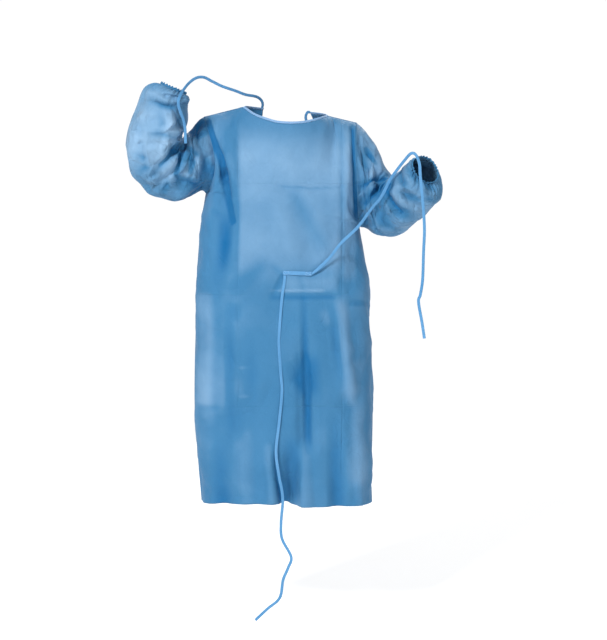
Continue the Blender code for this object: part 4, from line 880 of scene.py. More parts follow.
def sleeve_grid(armhole, sections, folds):
    """A sleeve's outer face: rings from the armhole to the wrist, each from the outer point by the
    front to the inner point and round the back."""
    count = len(armhole)
    half = count // 2
    inner, outer = armhole[half], armhole[0]
    half_depth = abs(armhole[half // 2][1] - armhole[half + half // 2][1]) / 2
    sections = [Section(*inner, *outer, half_depth)] + list(sections)
    numbers = np.linspace(0.0, len(sections) - 1, SLEEVE_STEPS_PER_SECTION * (len(sections) - 1) + 1)
    values = np.array([section_values(sections, number) for number in numbers])
    middles = (values[:, 0:3] + values[:, 3:6]) / 2
    ways = unit(np.gradient(middles, axis=0))
    angles = np.linspace(0.0, 2 * math.pi, count, endpoint=False)
    reaches = (values[:, 3:6] - values[:, 0:3]) / 2
    depths = unit(np.cross(ways, reaches))
    depths = np.where(depths[:, 1:2] > 0, -depths, depths)
    held = np.clip(1 - numbers / ARMHOLE_TURN, 0.0, 1.0)[:, None]
    depths = unit(depths * (1 - held) + unit(armhole[half // 2] - armhole[half + half // 2]) * held)
    for _ in range(SECTION_SMOOTHING):
        depths[1:-1] = unit(depths[:-2] + 2 * depths[1:-1] + depths[2:])
    rings = []
    for value, middle, reach, depth in zip(values, middles, reaches, depths):
        rings.append(middle + np.cos(angles)[:, None] * reach
                     + np.sin(angles)[:, None] * depth * value[6])
    rings = np.array(rings)
    fade = np.clip(1 - numbers / ARMHOLE_FADE, 0.0, 1.0) ** 2
    rings = rings + fade[:, None, None] * (armhole - rings[0])
    degrees = np.degrees(angles)
    places = np.stack(np.meshgrid(numbers * SECTION_STEP, degrees * DEGREE_STEP, indexing="ij"), axis=-1)
    scaled = [fold._replace(from_a=fold.from_a * SECTION_STEP, to_a=fold.to_a * SECTION_STEP,
                            from_b=fold.from_b * DEGREE_STEP, to_b=fold.to_b * DEGREE_STEP)
              for fold in folds]
    depth = fold_depth(places, scaled) * seam_fade(len(rings), 1, EDGE_TAPER_STEPS)[:, None]
    inward = unit(rings.mean(axis=1, keepdims=True) - rings)
    return rings + inward * depth[..., None]


def shared_inward(grids):
    """Inward directions for several grids. Where grids meet at a seam, they share one direction."""
    total = {}
    for grid, inward in grids:
        for point, way in zip(grid.reshape(-1, 3), inward.reshape(-1, 3)):
            key = tuple(np.round(point, 6))
            total[key] = total.get(key, 0) + way
    result = []
    for grid, inward in grids:
        ways = [unit(total[tuple(np.round(point, 6))]) for point in grid.reshape(-1, 3)]
        result.append(np.array(ways).reshape(grid.shape))
    return result


def body_panels():
    """Outer faces of the front and both backs, folded, with their inward directions."""
    grids = {"front": front_grid(), "back_right": back_grid("right"), "back_left": back_grid("left")}
    folds = {"front": FOLDS_FRONT, "back_right": FOLDS_BACK, "back_left": FOLDS_BACK}
    turned = {"front": -1, "back_right": 1, "back_left": -1}
    made = {}
    for name, grid in grids.items():
        inward = turned[name] * grid_normals(grid)
        grid = folded(grid, folds[name], inward, both_sides=name == "front")
        made[name] = (grid, turned[name] * grid_normals(grid))
    return made


def armhole_ring(front, back, column):
    """The armhole as one ring: from the armpit up the front edge and down the back edge."""
    up = front[ROWS_SKIRT:, column]
    down = back[ROWS_SKIRT:, 0][::-1]
    return np.vstack([up, down[1:-1]])


def sleeves(panels):
    """Outer faces of both sleeves with their inward directions."""
    front = panels["front"][0]
    made = {}
    for side, column, sections, folds in (("right", 0, SLEEVE_RIGHT, FOLDS_SLEEVE_RIGHT),
                                          ("left", -1, SLEEVE_LEFT, FOLDS_SLEEVE_LEFT)):
        ring = armhole_ring(front, panels["back_" + side][0], column)
        grid = sleeve_grid(ring, sections, folds)
        normals = grid_normals(grid, closed=True)
        centres = grid.mean(axis=1, keepdims=True)
        if np.sum(normals * (centres - grid)) < 0:
            normals = -normals
        made["sleeve_" + side] = (grid, normals)
    return made


def join_runs(runs):
    """Lines that follow each other as one, with the shared end points of two runs averaged."""
    joined = []
    for lines in zip(*runs):
        whole = lines[0]
        for line in lines[1:]:
            whole = np.vstack([whole[:-1], (whole[-1:] + line[:1]) / 2, line[1:]])
        joined.append(whole)
    return joined


def front_face_y(grid, x, height):
    """How far forward a panel's outer face lies at an x and a height."""
    best = None
    rows, columns = grid.shape[:2]
    away = (grid[..., 0] - x) ** 2 + (grid[..., 2] - height) ** 2
    near_row, near_column = np.unravel_index(np.argmin(away), away.shape)
    for row in range(max(near_row - 2, 0), min(near_row + 2, rows - 1)):
        for column in range(max(near_column - 2, 0), min(near_column + 2, columns - 1)):
            a, b = grid[row, column], grid[row, column + 1]
            c, d = grid[row + 1, column + 1], grid[row + 1, column]
            for corners in ((a, b, c), (a, c, d)):
                weights = np.linalg.solve(np.array([[p[0], p[2], 1.0] for p in corners]).T,
                                          [x, height, 1.0])
                if weights.min() > -1e-9:
                    y = weights @ [p[1] for p in corners]
                    best = y if best is None else min(best, y)
    return best


def refined_rows(grid, factors):
    """A grid with more rows: a smooth curve through the points of each column."""
    framed = np.concatenate([2 * grid[:1] - grid[1:2], grid, 2 * grid[-1:] - grid[-2:-1]])
    fine = [between(*framed[index:index + 4], t)
            for index, factor in enumerate(factors) for t in np.arange(factor) / factor]
    return np.array(fine + [grid[-1]])


def refined(grid, row_factors, column_factor, closed=False):
    """A grid made finer both ways. A closed one runs round on itself along its columns."""
    across = refined_rows(grid, row_factors).transpose(1, 0, 2)
    count = len(across)
    if closed:
        across = np.concatenate([across[-2:], across, across[:3]])
    across = refined_rows(across, [column_factor] * (len(across) - 1))
    if closed:
        across = across[2 * column_factor:(2 + count) * column_factor]
    return across.transpose(1, 0, 2)


def seen_place(column, row, y):
    """The x and height at which a pixel of the photograph shows what lies as far forward as y."""
    focal = CAMERA_LENS / CAMERA_SENSOR * PHOTO_SIZE[1]
    pitch = math.radians(CAMERA_PITCH)
    across, up = (column - PHOTO_SIZE[0] / 2) / focal, (PHOTO_SIZE[1] / 2 - row) / focal
    reach = (y - CAMERA_PLACE[1]) / (math.cos(pitch) + math.sin(pitch) * up)
    return (CAMERA_PLACE[0] + across * reach,
            CAMERA_PLACE[2] + (math.cos(pitch) * up - math.sin(pitch)) * reach)


def gain_of(seen, is_sleeve):
    """How much wider and deeper a picked crease is on the cloth."""
    if seen.form == "fold":
        return FOLD_GAIN
    if seen.form == "soft":
        return SOFT_GAIN
    if is_sleeve:
        return SLEEVE_GAIN
    return FINE_GAIN if seen.form == "sharp" and seen.half_width < FINE_WIDTH else BODY_GAIN


def creases_of(name):
    """The creases of a piece on the cloth, with those that were picked put to the millimetre."""
    if name in CREASES_HIDDEN:
        return CREASES_HIDDEN[name]
    piece = SEEN_PIECES[name]
    creases = []
    for seen in piece.creases:
        gain = gain_of(seen, piece.is_sleeve)
        points = []
        for column, row, depth in seen.points:
            x, height = seen_place(column, row, piece.y)
            points.append((round(x, 3), round(height, 3), round(depth * gain.depth / 1000, 4)))
        width = round(seen.half_width * gain.width * PIXEL_WIDTH, 4)
        creases.append(Crease(seen.form, width, points, piece.shade if seen.shade is None else seen.shade))
    return creases


def crease_depth(places, creases):
    """How far in each place lies for the creases, as drawn by their points, and how much painted shade
    the troughs and painted highlight the ridges put there."""
    depth = np.zeros(places.shape[:-1])
    shade = np.zeros(places.shape[:-1])
    for crease in creases:
        nearest = np.full(places.shape[:-1], np.inf)
        here = np.zeros(places.shape[:-1])
        side = np.ones(places.shape[:-1])
        points = np.array(crease.points)
        for start, stop in zip(points, points[1:]):
            run = stop[:2] - start[:2]
            offset = places - start[:2]
            share = np.clip((offset @ run) / (run @ run), 0.0, 1.0)
            away = np.linalg.norm(offset - share[..., None] * run, axis=-1)
            closer = away < nearest
            nearest = np.where(closer, away, nearest)
            here = np.where(closer, start[2] + share * (stop[2] - start[2]), here)
            side = np.where(closer, np.sign(run[0] * offset[..., 1] - run[1] * offset[..., 0]), side)
        reach = np.clip(nearest / crease.half_width, 0.0, 1.0)
        part = crease_part(crease.form, reach, side)
        depth += here * part
        # painted shade in a trough, painted highlight on a ridge, by the crease's depth
        shade -= np.clip(crease.shade * here / FULL_SHADE, RIDGE_SHADE, MOST_SHADE) * part
    return depth, shade


def crease_part(form, reach, side):
    """The share of a crease's depth at each place, from its middle at reach 0 to its edge at 1."""
    if form == "soft":
        return np.cos(reach * math.pi / 2) ** 2
    if form == "sharp":
        return SHARP_SHARE * (1 - reach) + (1 - SHARP_SHARE) * (1 - reach) ** 2
    if form == "fold":
        return np.clip((1 - reach) * FOLD_STEEPNESS, 0.0, 1.0)
    return np.where(side > 0, np.clip(1 - reach * STEP_STEEPNESS, 0.0, 1.0), (1 - reach) ** 2)


def painted_light_and_shade(places, patches):
    """How much painted highlight, or where negative painted shade, the patches put at each place."""
    pale = np.zeros(places.shape[:-1])
    for patch in patches:
        turn = math.radians(patch.turn)
        offset = places - (patch.x, patch.z)
        along = np.abs(offset[..., 0] * math.cos(turn) + offset[..., 1] * math.sin(turn)) - patch.half_x
        up = np.abs(offset[..., 1] * math.cos(turn) - offset[..., 0] * math.sin(turn)) - patch.half_z
        pale += (patch.pale * eased(np.clip(0.5 - along / patch.soft_x, 0.0, 1.0))
                 * eased(np.clip(0.5 - up / patch.soft_z, 0.0, 1.0)))
    return pale


def facet_heights(down, over, cell, height, period, seed):
    """Heights of crumpled flat facets over the cloth: a random point in each cell gets a random
    height, and flat triangles join them. period is the way round where the cloth is a tube."""
    random = np.random.default_rng(seed)
    rows = np.arange(down[0] - 2 * cell, down[-1] + 3 * cell, cell)
    if period:
        columns = np.arange(round(period / cell)) * period / round(period / cell)
    else:
        columns = np.arange(over[0] - 2 * cell, over[-1] + 3 * cell, cell)
    seeds = np.stack(np.meshgrid(rows, columns, indexing="ij"), axis=-1).reshape(-1, 2)
    seeds = seeds + random.uniform(-FACET_JITTER, FACET_JITTER, seeds.shape) * cell
    heights = random.uniform(-1.0, 1.0, len(seeds)) * height
    if period:
        seeds = np.vstack([seeds + (0.0, turn * period) for turn in (-1, 0, 1)])
        heights = np.tile(heights, 3)
    joined = delaunay_2d_cdt([Vector(seed_at) for seed_at in seeds], [], [], 0, 1e-7)
    corners = np.array([tuple(corner) for corner in joined[0]])
    tops = np.array([heights[sources[0]] for sources in joined[3]])
    result = np.zeros((len(down), len(over)))
    for triangle in joined[2]:
        a, b, c = corners[list(triangle)]
        low, high = np.minimum(np.minimum(a, b), c), np.maximum(np.maximum(a, b), c)
        top, bottom = np.searchsorted(down, (low[0], high[0]))
        left, right = np.searchsorted(over, (low[1], high[1]))
        if top == bottom or left == right:
            continue
        first, second = b - a, c - a
        ahead, aside = down[top:bottom, None] - a[0], over[None, left:right] - a[1]
        scale = first[0] * second[1] - first[1] * second[0]
        wb = (ahead * second[1] - aside * second[0]) / scale
        wc = (first[0] * aside - first[1] * ahead) / scale
        ha, hb, hc = tops[list(triangle)]
        within = (wb >= -1e-6) & (wc >= -1e-6) & (wb + wc <= 1 + 1e-6)
        window = result[top:bottom, left:right]
        window[within] = (ha + wb * (hb - ha) + wc * (hc - ha))[within]
    return result


def ripple(points, size, height, shift):
    """Smooth uneven waves of about that size."""
    flat = points.reshape(-1, 3) / size + shift
    values = [noise.noise(Vector(point)) for point in flat]
    return height * np.array(values).reshape(points.shape[:-1])


def lengths_along(grid):
    """How far each point is along its column and along its row, in metres."""
    down = np.linalg.norm(np.diff(grid, axis=0), axis=-1)
    across = np.linalg.norm(np.diff(grid, axis=1), axis=-1)
    rows = np.concatenate([[0.0], np.cumsum(down.mean(axis=1))])
    columns = np.concatenate([[0.0], np.cumsum(across.mean(axis=0))])
    return rows, columns


def mesh_object(name, points, faces, uvs, look):
    """A mesh piece with smooth shading and a map in metres of the flat cloth."""
    mesh = bpy.data.meshes.new(name)
    mesh.from_pydata([tuple(point) for point in points], [], faces)
    layer = mesh.uv_layers.new(name="cut")
    layer.data.foreach_set("uv", np.asarray(uvs, dtype=float).reshape(-1))
    mesh.update()
    mesh.shade_smooth()
    mesh.materials.append(look)
    piece = bpy.data.objects.new(name, mesh)
    bpy.context.scene.collection.objects.link(piece)
    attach(piece, "root")
    return piece


def wall(rows, columns, down, over):
    """Quads between the points of a grid, and each quad's corners on the map of the flat cloth. It
    runs round on itself where over, the places along a row, has a place more than the row."""
    faces, uvs = [], []
    for row in range(rows - 1):
        for column in range(len(over) - 1):
            after = (column + 1) % columns
            faces.append((row * columns + column, row * columns + after,
                          (row + 1) * columns + after, (row + 1) * columns + column))
            uvs.append([(over[column], down[row]), (over[column + 1], down[row]),
                        (over[column + 1], down[row + 1]), (over[column], down[row + 1])])
    return faces, uvs


def shell(name, outer, inward, thickness, look, closed=False, pale=None):
    """A thin sheet with an outer and an inner side, joined along its edges."""
    rows, columns = outer.shape[:2]
    points = np.vstack([outer.reshape(-1, 3), (outer + inward * thickness).reshape(-1, 3)])
    under = rows * columns
    down, over = lengths_along(outer)
    if closed:
        over = np.append(over, over[-1] + np.linalg.norm(outer[:, 0] - outer[:, -1], axis=-1).mean())
    faces, uvs = [], []
    for face, corners in zip(*wall(rows, columns, down, over)):
        faces += [face, tuple(corner + under for corner in face[::-1])]
        uvs += [corners, corners[::-1]]
    edges = [(row * columns + column, row * columns + (column + 1) % columns, row == 0)
             for row in (0, rows - 1) for column in range(len(over) - 1)]
    if not closed:
        edges += [(row * columns + column, (row + 1) * columns + column, column > 0)
                  for column in (0, columns - 1) for row in range(rows - 1)]
    for first, second, turned in edges:
        if turned:
            first, second = second, first
        faces.append((first, second, second + under, first + under))
        uvs.append([(0.0, 0.0), (0.0, 0.0), (0.0, thickness), (0.0, thickness)])
    if volume_of(points, faces) < 0:
        faces = [face[::-1] for face in faces]
        uvs = [corners[::-1] for corners in uvs]
    piece = mesh_object(name, points, faces, uvs, look)
    # The pale attribute carries the cloth's painted highlight and painted shade.
    if pale is not None:
        layer = piece.data.attributes.new("pale", "FLOAT", "POINT")
        layer.data.foreach_set("value", np.tile(pale.reshape(-1), 2))
    return piece


def volume_of(points, faces):
    """Signed volume that the faces enclose, each a quad."""
    corners = points[np.array(faces)]
    halves = [corners[:, [0, 1, 2]], corners[:, [0, 2, 3]]]
    return sum(np.einsum("ij,ij->i", half[:, 0], np.cross(half[:, 1], half[:, 2])).sum() for half in halves)


def tube(name, rings, look):
    """A closed skin over rings of points, with its two ends filled."""
    rings = np.asarray(rings)
    count, around = rings.shape[:2]
    points = rings.reshape(-1, 3)
    down, over = lengths_along(rings)
    over = np.append(over, over[-1] + np.linalg.norm(rings[0, 0] - rings[0, -1]))
    faces, uvs = wall(count, around, down, over)
    if volume_of(points, faces) < 0:
        faces = [face[::-1] for face in faces]
    for first in (0, (count - 1) * around):
        for column in range(around // 2 - 1):
            quad = (first + column, first + column + 1, first + around - 2 - column,
                    first + around - 1 - column)
            faces.append(quad if first else quad[::-1])
            uvs.append([(0.0, 0.0)] * 4)
    return mesh_object(name, points, faces, uvs, look)


def flat_rings(middles, across, facing, width, thickness):
    """Rings of a flat tape with rounded edges along its middle line."""
    angles = (np.arange(TAPE_POINTS) + 0.5) * 2 * math.pi / TAPE_POINTS
    wide = np.sign(np.cos(angles)) * np.abs(np.cos(angles)) ** TAPE_SQUARE * width / 2
    thick = np.sign(np.sin(angles)) * np.abs(np.sin(angles)) ** TAPE_FLAT * thickness / 2
    return (middles[:, None] + across[:, None] * wide[None, :, None]
            + facing[:, None] * thick[None, :, None])


def tape(name, route, steps, sewn_end, look):
    """A flat tie along its route, a little uneven. Gives back the piece and its middle line."""
    line = smooth_curve(route, steps)
    middles = line[:, :3]
    along = unit(np.gradient(middles, axis=0))
    share = np.linspace(0.0, 1.0, steps + 1)
    loose = np.clip(share / TAPE_LOOSE, 0.0, 1.0)
    waver = np.array([noise.noise(Vector((at * TAPE_WAVES, len(name), 0.3))) for at in share])
    turns = np.radians(line[:, 3]) + np.radians(TAPE_TWIST) * waver * loose
    facing = np.stack([np.sin(turns), -np.cos(turns), np.zeros_like(turns)], axis=1)
    facing = unit(facing - np.sum(facing * along, axis=1, keepdims=True) * along)
    across = np.cross(along, facing)
    held = np.clip(1 - share / TAPE_HELD, 0.0, 1.0)[:, None]
    across = unit(across * (1 - held) + unit(sewn_end.across) * held)
    facing = unit(facing * (1 - held) + unit(sewn_end.face) * held)
    rings = flat_rings(middles, across, facing, TAPE_WIDTH, TAPE_THICKNESS)
    wrinkles = np.array([noise.noise(Vector((at * TAPE_WRINKLES, 2.0, len(name)))) for at in share])
    rings += facing[:, None] * (wrinkles * loose * TAPE_WRINKLE)[:, None, None]
    return tube(name, rings, look), middles


def stitches(name, path, normals, look, form):
    """A row of short threads along a path, lying on the cloth."""
    steps = np.linalg.norm(np.diff(path, axis=0), axis=1)
    along = np.concatenate([[0.0], np.cumsum(steps)])

    def at_length(lines, length):
        return np.array([np.interp(length, along, lines[:, axis]) for axis in range(3)])

    points, faces = [], []
    for start in np.arange(form.pitch / 2, along[-1] - form.length, form.pitch):
        base = len(points)
        for reach, size in STITCH_SHAPE:
            at = start + reach * form.length
            middle = at_length(path, at)
            normal = unit(at_length(normals, at))
            ahead = at_length(path, min(at + 0.001, along[-1])) - middle
            way = unit(ahead if np.linalg.norm(ahead) > 1e-9 else np.array([1.0, 0.0, 0.0]))
            side = unit(np.cross(way, normal))
            middle = middle + normal * (form.lift + (size - STITCH_SUNK) * form.radius)
            for turn in (0.0, math.pi / 2, math.pi, 3 * math.pi / 2):
                points.append(middle + (math.cos(turn) * side + math.sin(turn) * normal) * form.radius * size)
        sides, _ = wall(4, 4, np.zeros(4), np.zeros(5))
        ends = [(3, 2, 1, 0), (12, 13, 14, 15)]
        faces += [tuple(base + corner for corner in face) for face in sides + ends]
    return mesh_object(name, np.array(points), faces, np.zeros((len(faces), 4, 2)), look)


def material_of(name):
    """A new material, its node tree and its shader."""
    material = bpy.data.materials.new(name)
    material.use_nodes = True
    return material, material.node_tree, material.node_tree.nodes["Principled BSDF"]


def feed(tree, node, inputs):
    """Give each input of a node its value, or join it to the output that feeds it."""
    for key, value in inputs.items():
        if isinstance(value, bpy.types.NodeSocket):
            tree.links.new(value, node.inputs[key])
        else:
            node.inputs[key].default_value = value


def add(tree, kind, inputs=None, **settings):
    """A shader node with its settings and inputs."""
    made = tree.nodes.new(kind)
    for key, value in settings.items():
        setattr(made, key, value)
    feed(tree, made, inputs or {})
    return made


def figured(tree, operation, *values):
    """The result of a sum on shader values."""
    return add(tree, "ShaderNodeMath", dict(enumerate(values)), operation=operation).outputs[0]


def vector_figured(tree, operation, *values):
    """The result of a sum on shader vectors."""
    return add(tree, "ShaderNodeVectorMath", dict(enumerate(values)), operation=operation).outputs[0]


def ranged(tree, value, limits, results=(0.0, 1.0), **settings):
    """A value on its way between two limits, as the like place between two results."""
    inputs = dict(enumerate((value, *limits, *results)))
    return add(tree, "ShaderNodeMapRange", inputs, **settings).outputs["Result"]


def mixed(tree, share, first, second, **settings):
    """Two colours mixed: the first at share 0, the second at share 1."""
    inputs = {0: share, 6: first, 7: second}
    return add(tree, "ShaderNodeMix", inputs, data_type="RGBA", **settings).outputs[2]


def clouded(tree, place, scale, output="Fac", **inputs):
    """Noise at each place."""
    return add(tree, "ShaderNodeTexNoise", {"Vector": place, "Scale": scale, **inputs}).outputs[output]


def mapped(tree, place, scale, turn=(0.0, 0.0, 0.0)):
    """A place turned and scaled."""
    inputs = {"Vector": place, "Rotation": turn, "Scale": scale}
    return add(tree, "ShaderNodeMapping", inputs).outputs["Vector"]


def bumped(tree, height, bump, normal=None, invert=False):
    """The normal as a bump of that height leaves it, where bump is its strength and its depth."""
    inputs = {"Height": height, "Strength": bump[0], "Distance": bump[1]}
    if normal is not None:
        inputs["Normal"] = normal
    return add(tree, "ShaderNodeBump", inputs, invert=invert).outputs["Normal"]


def axes_of(tree, vector):
    """The parts of a shader vector, by axis."""
    return add(tree, "ShaderNodeSeparateXYZ", {"Vector": vector}).outputs


def pressed_lines(tree, place, uneven):
    """Thin lines where the folded gown was pressed in its bag, at PACKING_LINES, fading unevenly."""
    waver = clouded(tree, place, WAVER_SCALE)
    parts = axes_of(tree, place)
    total = None
    for axis, at, strength in PACKING_LINES:
        shift = figured(tree, "MULTIPLY_ADD", waver, PACKING_WAVER, -PACKING_WAVER / 2 - at)
        apart = figured(tree, "ABSOLUTE", figured(tree, "ADD", parts[axis], shift))
        line = ranged(tree, apart, (0.0, PACKING_WIDTH), (strength, 0.0))
        total = line if total is None else figured(tree, "ADD", total, line)
    return figured(tree, "MULTIPLY", total, uneven)


def crumpled_lines(tree, place, uneven, size, width):
    """Thin creases between crumpled facets about that size, fading unevenly."""
    bend = clouded(tree, place, 0.5 / size, output="Color")
    shifted = vector_figured(tree, "MULTIPLY_ADD", bend, (size, size, size), place)
    cells = add(tree, "ShaderNodeTexVoronoi", {"Vector": shifted, "Scale": 1.0 / size},
                feature="DISTANCE_TO_EDGE")
    line = ranged(tree, cells.outputs["Distance"], (0.0, width / size), (1.0, 0.0))
    return figured(tree, "MULTIPLY", line, uneven)


def tilted_facets(tree, place, normal, size, tilt):
    """The normal with a tilt of its own in each crumpled facet, so that their edges look crisp."""
    longer = mapped(tree, place, (1.0 / size, 1.0 / size, FACET_LONGER / size), FACET_TURN)
    cells = add(tree, "ShaderNodeTexVoronoi", {"Vector": longer, "Scale": 1.0})
    centred = vector_figured(tree, "SUBTRACT", cells.outputs["Color"], (0.5, 0.5, 0.5))
    tilted = vector_figured(tree, "MULTIPLY_ADD", centred, (tilt, tilt, tilt), normal)
    return vector_figured(tree, "NORMALIZE", tilted)


def bond_points(tree, cut, pitch):
    """The points that press the sheet together, in a diagonal net on the map of the flat cloth."""
    scale = (math.tau / pitch, math.tau / pitch, 1.0)
    parts = axes_of(tree, mapped(tree, cut, scale, (0.0, 0.0, math.radians(45))))
    waves = [figured(tree, "SINE", parts[axis]) for axis in ("X", "Y")]
    return ranged(tree, figured(tree, "MULTIPLY", *waves), DOT_RANGE, interpolation_type="SMOOTHSTEP")


def nonwoven_colour(tree, look, place, dots):
    """The sheet's colour: clouds of fibre, specks and bond points. Where the cloth's pale attribute
    is over 0 it gets a painted highlight, and under 0 a painted shade."""
    clouds = clouded(tree, place, CLOUD_SCALE, Detail=4.0)
    shade = mixed(tree, ranged(tree, clouds, CLOUD_RANGE), (*look.dark, 1.0), (*look.light, 1.0))
    # The pale attribute mixes in the painted highlight colour where over 0 and the painted shade colour where
    # under 0.
    pale = add(tree, "ShaderNodeAttribute", attribute_name="pale").outputs["Fac"]
    share = figured(tree, "MULTIPLY", pale, ranged(tree, clouds, PAINTED_LIGHT_RANGE, PAINTED_LIGHT_UNEVEN))
    with_painted_highlight = mixed(tree, share, shade, (*look.hazy, 1.0))
    with_painted_shade = mixed(tree, figured(tree, "MULTIPLY", share, -1.0), with_painted_highlight, (*look.deep, 1.0))
    specks = ranged(tree, clouded(tree, place, SPECK_SCALE, Detail=3.0), SPECK_RANGE, SPECK_TONES)
    flecked = mixed(tree, SPECK_SHARE, with_painted_shade, specks, blend_type="MULTIPLY")
    pressed = (*(DOT_SHADE * part for part in look.colour), 1.0)
    return mixed(tree, figured(tree, "MULTIPLY", dots, DOT_SHARE), flecked, pressed)


def nonwoven_normal(tree, look, place, cut, dots):
    """The sheet's small relief: bond points, fibres, crinkles, facets, crumples and packing lines."""
    strands = clouded(tree, mapped(tree, cut, FIBRE_SCALE), 1.0, Detail=2.0, Distortion=0.8)
    crinkle = clouded(tree, place, CRINKLE_SCALE, Detail=5.0, Roughness=0.55)
    normal = bumped(tree, dots, DOT_BUMP, invert=True)
    normal = bumped(tree, strands, FIBRE_BUMP, normal)
    normal = bumped(tree, crinkle, CRINKLE_BUMP, normal)
    for size, tilt in look.tilts:
        normal = tilted_facets(tree, place, normal, size, tilt)
    if look.crumple or look.packing:
        fading = ranged(tree, clouded(tree, place, FADING_SCALE), FADING_RANGE)
    if look.crumple:
        for size, width, rise in CRUMPLES:
            lines = crumpled_lines(tree, place, fading, size, width)
            normal = bumped(tree, lines, (look.crumple, rise), normal, invert=True)
    if look.packing:
        lines = pressed_lines(tree, place, fading)
        normal = bumped(tree, lines, (look.packing, PACKING_RISE), normal, invert=True)
    return normal


def nonwoven(name, look):
    """Nonwoven sheet, as its row says that it looks."""
    material, tree, shader = material_of(name)
    cut = add(tree, "ShaderNodeUVMap", uv_map="cut").outputs["UV"]
    place = add(tree, "ShaderNodeTexCoord").outputs["Object"]
    dots = bond_points(tree, cut, look.dot_pitch)
    feed(tree, shader, {
        "Base Color": nonwoven_colour(tree, look, place, dots),
        "Roughness": ranged(tree, dots, (0.0, 1.0), DOT_ROUGHNESS),
        "Specular IOR Level": SPECULAR,
        "Sheen Weight": look.sheen,
        "Sheen Roughness": SHEEN_ROUGHNESS,
        "Sheen Tint": SHEEN_TINT,
        "Normal": nonwoven_normal(tree, look, place, cut, dots),
    })
    return material


def mottled(name, colours, scale, roughness):
    """A surface between two colours: the twist of thread, or a plain floor's faint unevenness."""
    material, tree, shader = material_of(name)
    place = add(tree, "ShaderNodeTexCoord").outputs["Object"]
    first, second = [(*colour, 1.0) for colour in colours]
    tone = mixed(tree, clouded(tree, place, scale), first, second)
    feed(tree, shader, {"Base Color": tone, "Roughness": roughness})
    return material


def camera():
    """The photograph's camera."""
    lens = bpy.data.cameras.new("camera")
    lens.lens = CAMERA_LENS
    lens.sensor_width = CAMERA_SENSOR
    lens.clip_end = 50.0
    eye = bpy.data.objects.new("camera", lens)
    eye.location = CAMERA_PLACE
    eye.rotation_euler = (math.radians(90.0 - CAMERA_PITCH), 0.0, 0.0)
    bpy.context.scene.collection.objects.link(eye)
    bpy.context.scene.camera = eye


def lamp(name, place, aim, size, power, colour):
    """A soft square light."""
    light = bpy.data.lights.new(name, "AREA")
    light.shape = "RECTANGLE"
    light.size, light.size_y = size
    light.energy = power
    light.color = colour
    lit = bpy.data.objects.new(name, light)
    lit.location = place
    way = Vector(aim) - Vector(place)
    lit.rotation_euler = way.to_track_quat("-Z", "Y").to_euler()
    bpy.context.scene.collection.objects.link(lit)


def studio():
    """Soft studio light, an almost white room and a plain pale floor."""
    world = bpy.data.worlds.new("room")
    bpy.context.scene.world = world
    world.use_nodes = True
    tree = world.node_tree
    way = axes_of(tree, add(tree, "ShaderNodeTexCoord").outputs["Generated"])
    strength = ranged(tree, way["Y"], ROOM_WAY, (ROOM_SHADE, ROOM_LIGHT), interpolation_type="SMOOTHSTEP")
    feed(tree, tree.nodes["Background"], {"Strength": strength, "Color": (1.0, 1.0, 1.0, 1.0)})
    for row in LAMPS:
        lamp(*row)
    mesh = bpy.data.meshes.new("floor")
    turns = [math.tau * index / FLOOR_POINTS for index in range(FLOOR_POINTS)]
    mesh.from_pydata([(FLOOR_REACH * math.cos(turn), FLOOR_REACH * math.sin(turn), FLOOR) for turn in turns],
                     [], [tuple(range(FLOOR_POINTS))])
    pale = mottled("floor", FLOOR_COLOURS, FLOOR_MOTTLE, FLOOR_ROUGHNESS)
    feed(pale.node_tree, pale.node_tree.nodes["Principled BSDF"],
         {"Emission Color": (1.0, 1.0, 1.0, 1.0), "Emission Strength": FLOOR_GLOW})
    mesh.materials.append(pale)
    floor = bpy.data.objects.new("floor", mesh)
    bpy.context.scene.collection.objects.link(floor)


def fine_panel(name, grid, inward):
    """A body panel at full fineness, with creases, facets and waves. Gives its outer face, its
    inward directions and its painted highlight and shade."""
    factors = [FINE_SKIRT] * ROWS_SKIRT + [FINE_UPPER] * ROWS_ARMHOLE
    fine = refined(grid, factors, FINE_COLUMNS)
    into = unit(refined(inward, factors, FINE_COLUMNS))
    down, over = lengths_along(fine)
    fade = np.outer(seam_fade(len(down), down[-1] / (len(down) - 1), SEAM_REACH, start=False),
                    seam_fade(len(over), over[-1] / (len(over) - 1), SEAM_REACH, end=name == "front"))
    depth, shade = crease_depth(fine[..., [0, 2]], creases_of(name))
    # pale: painted highlight from the patches, painted shade in the creases and painted highlight on their
    # ridges
    pale = painted_light_and_shade(fine[..., [0, 2]], PAINTED_LIGHT_PATCHES[name]) + shade
    calm = np.ones(fine.shape[:2])
    if name == "front":
        away = np.clip((np.abs(fine[..., 0]) - CALM_HALF_WIDTH) / CALM_FADE, 0.0, 1.0)
        calm = CALM_SHARE + (1 - CALM_SHARE) * away
    for cell, height, seed in FACETS_BODY:
        crumple = calm * facet_heights(down, over, cell, height, 0.0, seed + len(name))
        depth += crumple
        # painted shade on sunk facets, painted highlight on raised ones
        pale -= crumple * FACET_SHADE
    for size, height, shift in RIPPLES_BODY:
        depth += calm * ripple(fine * RIPPLE_STRETCH, size, height, shift)
    return fine + into * (depth * fade)[..., None], into, np.clip(pale, *PAINTED_LIGHT_LIMITS)


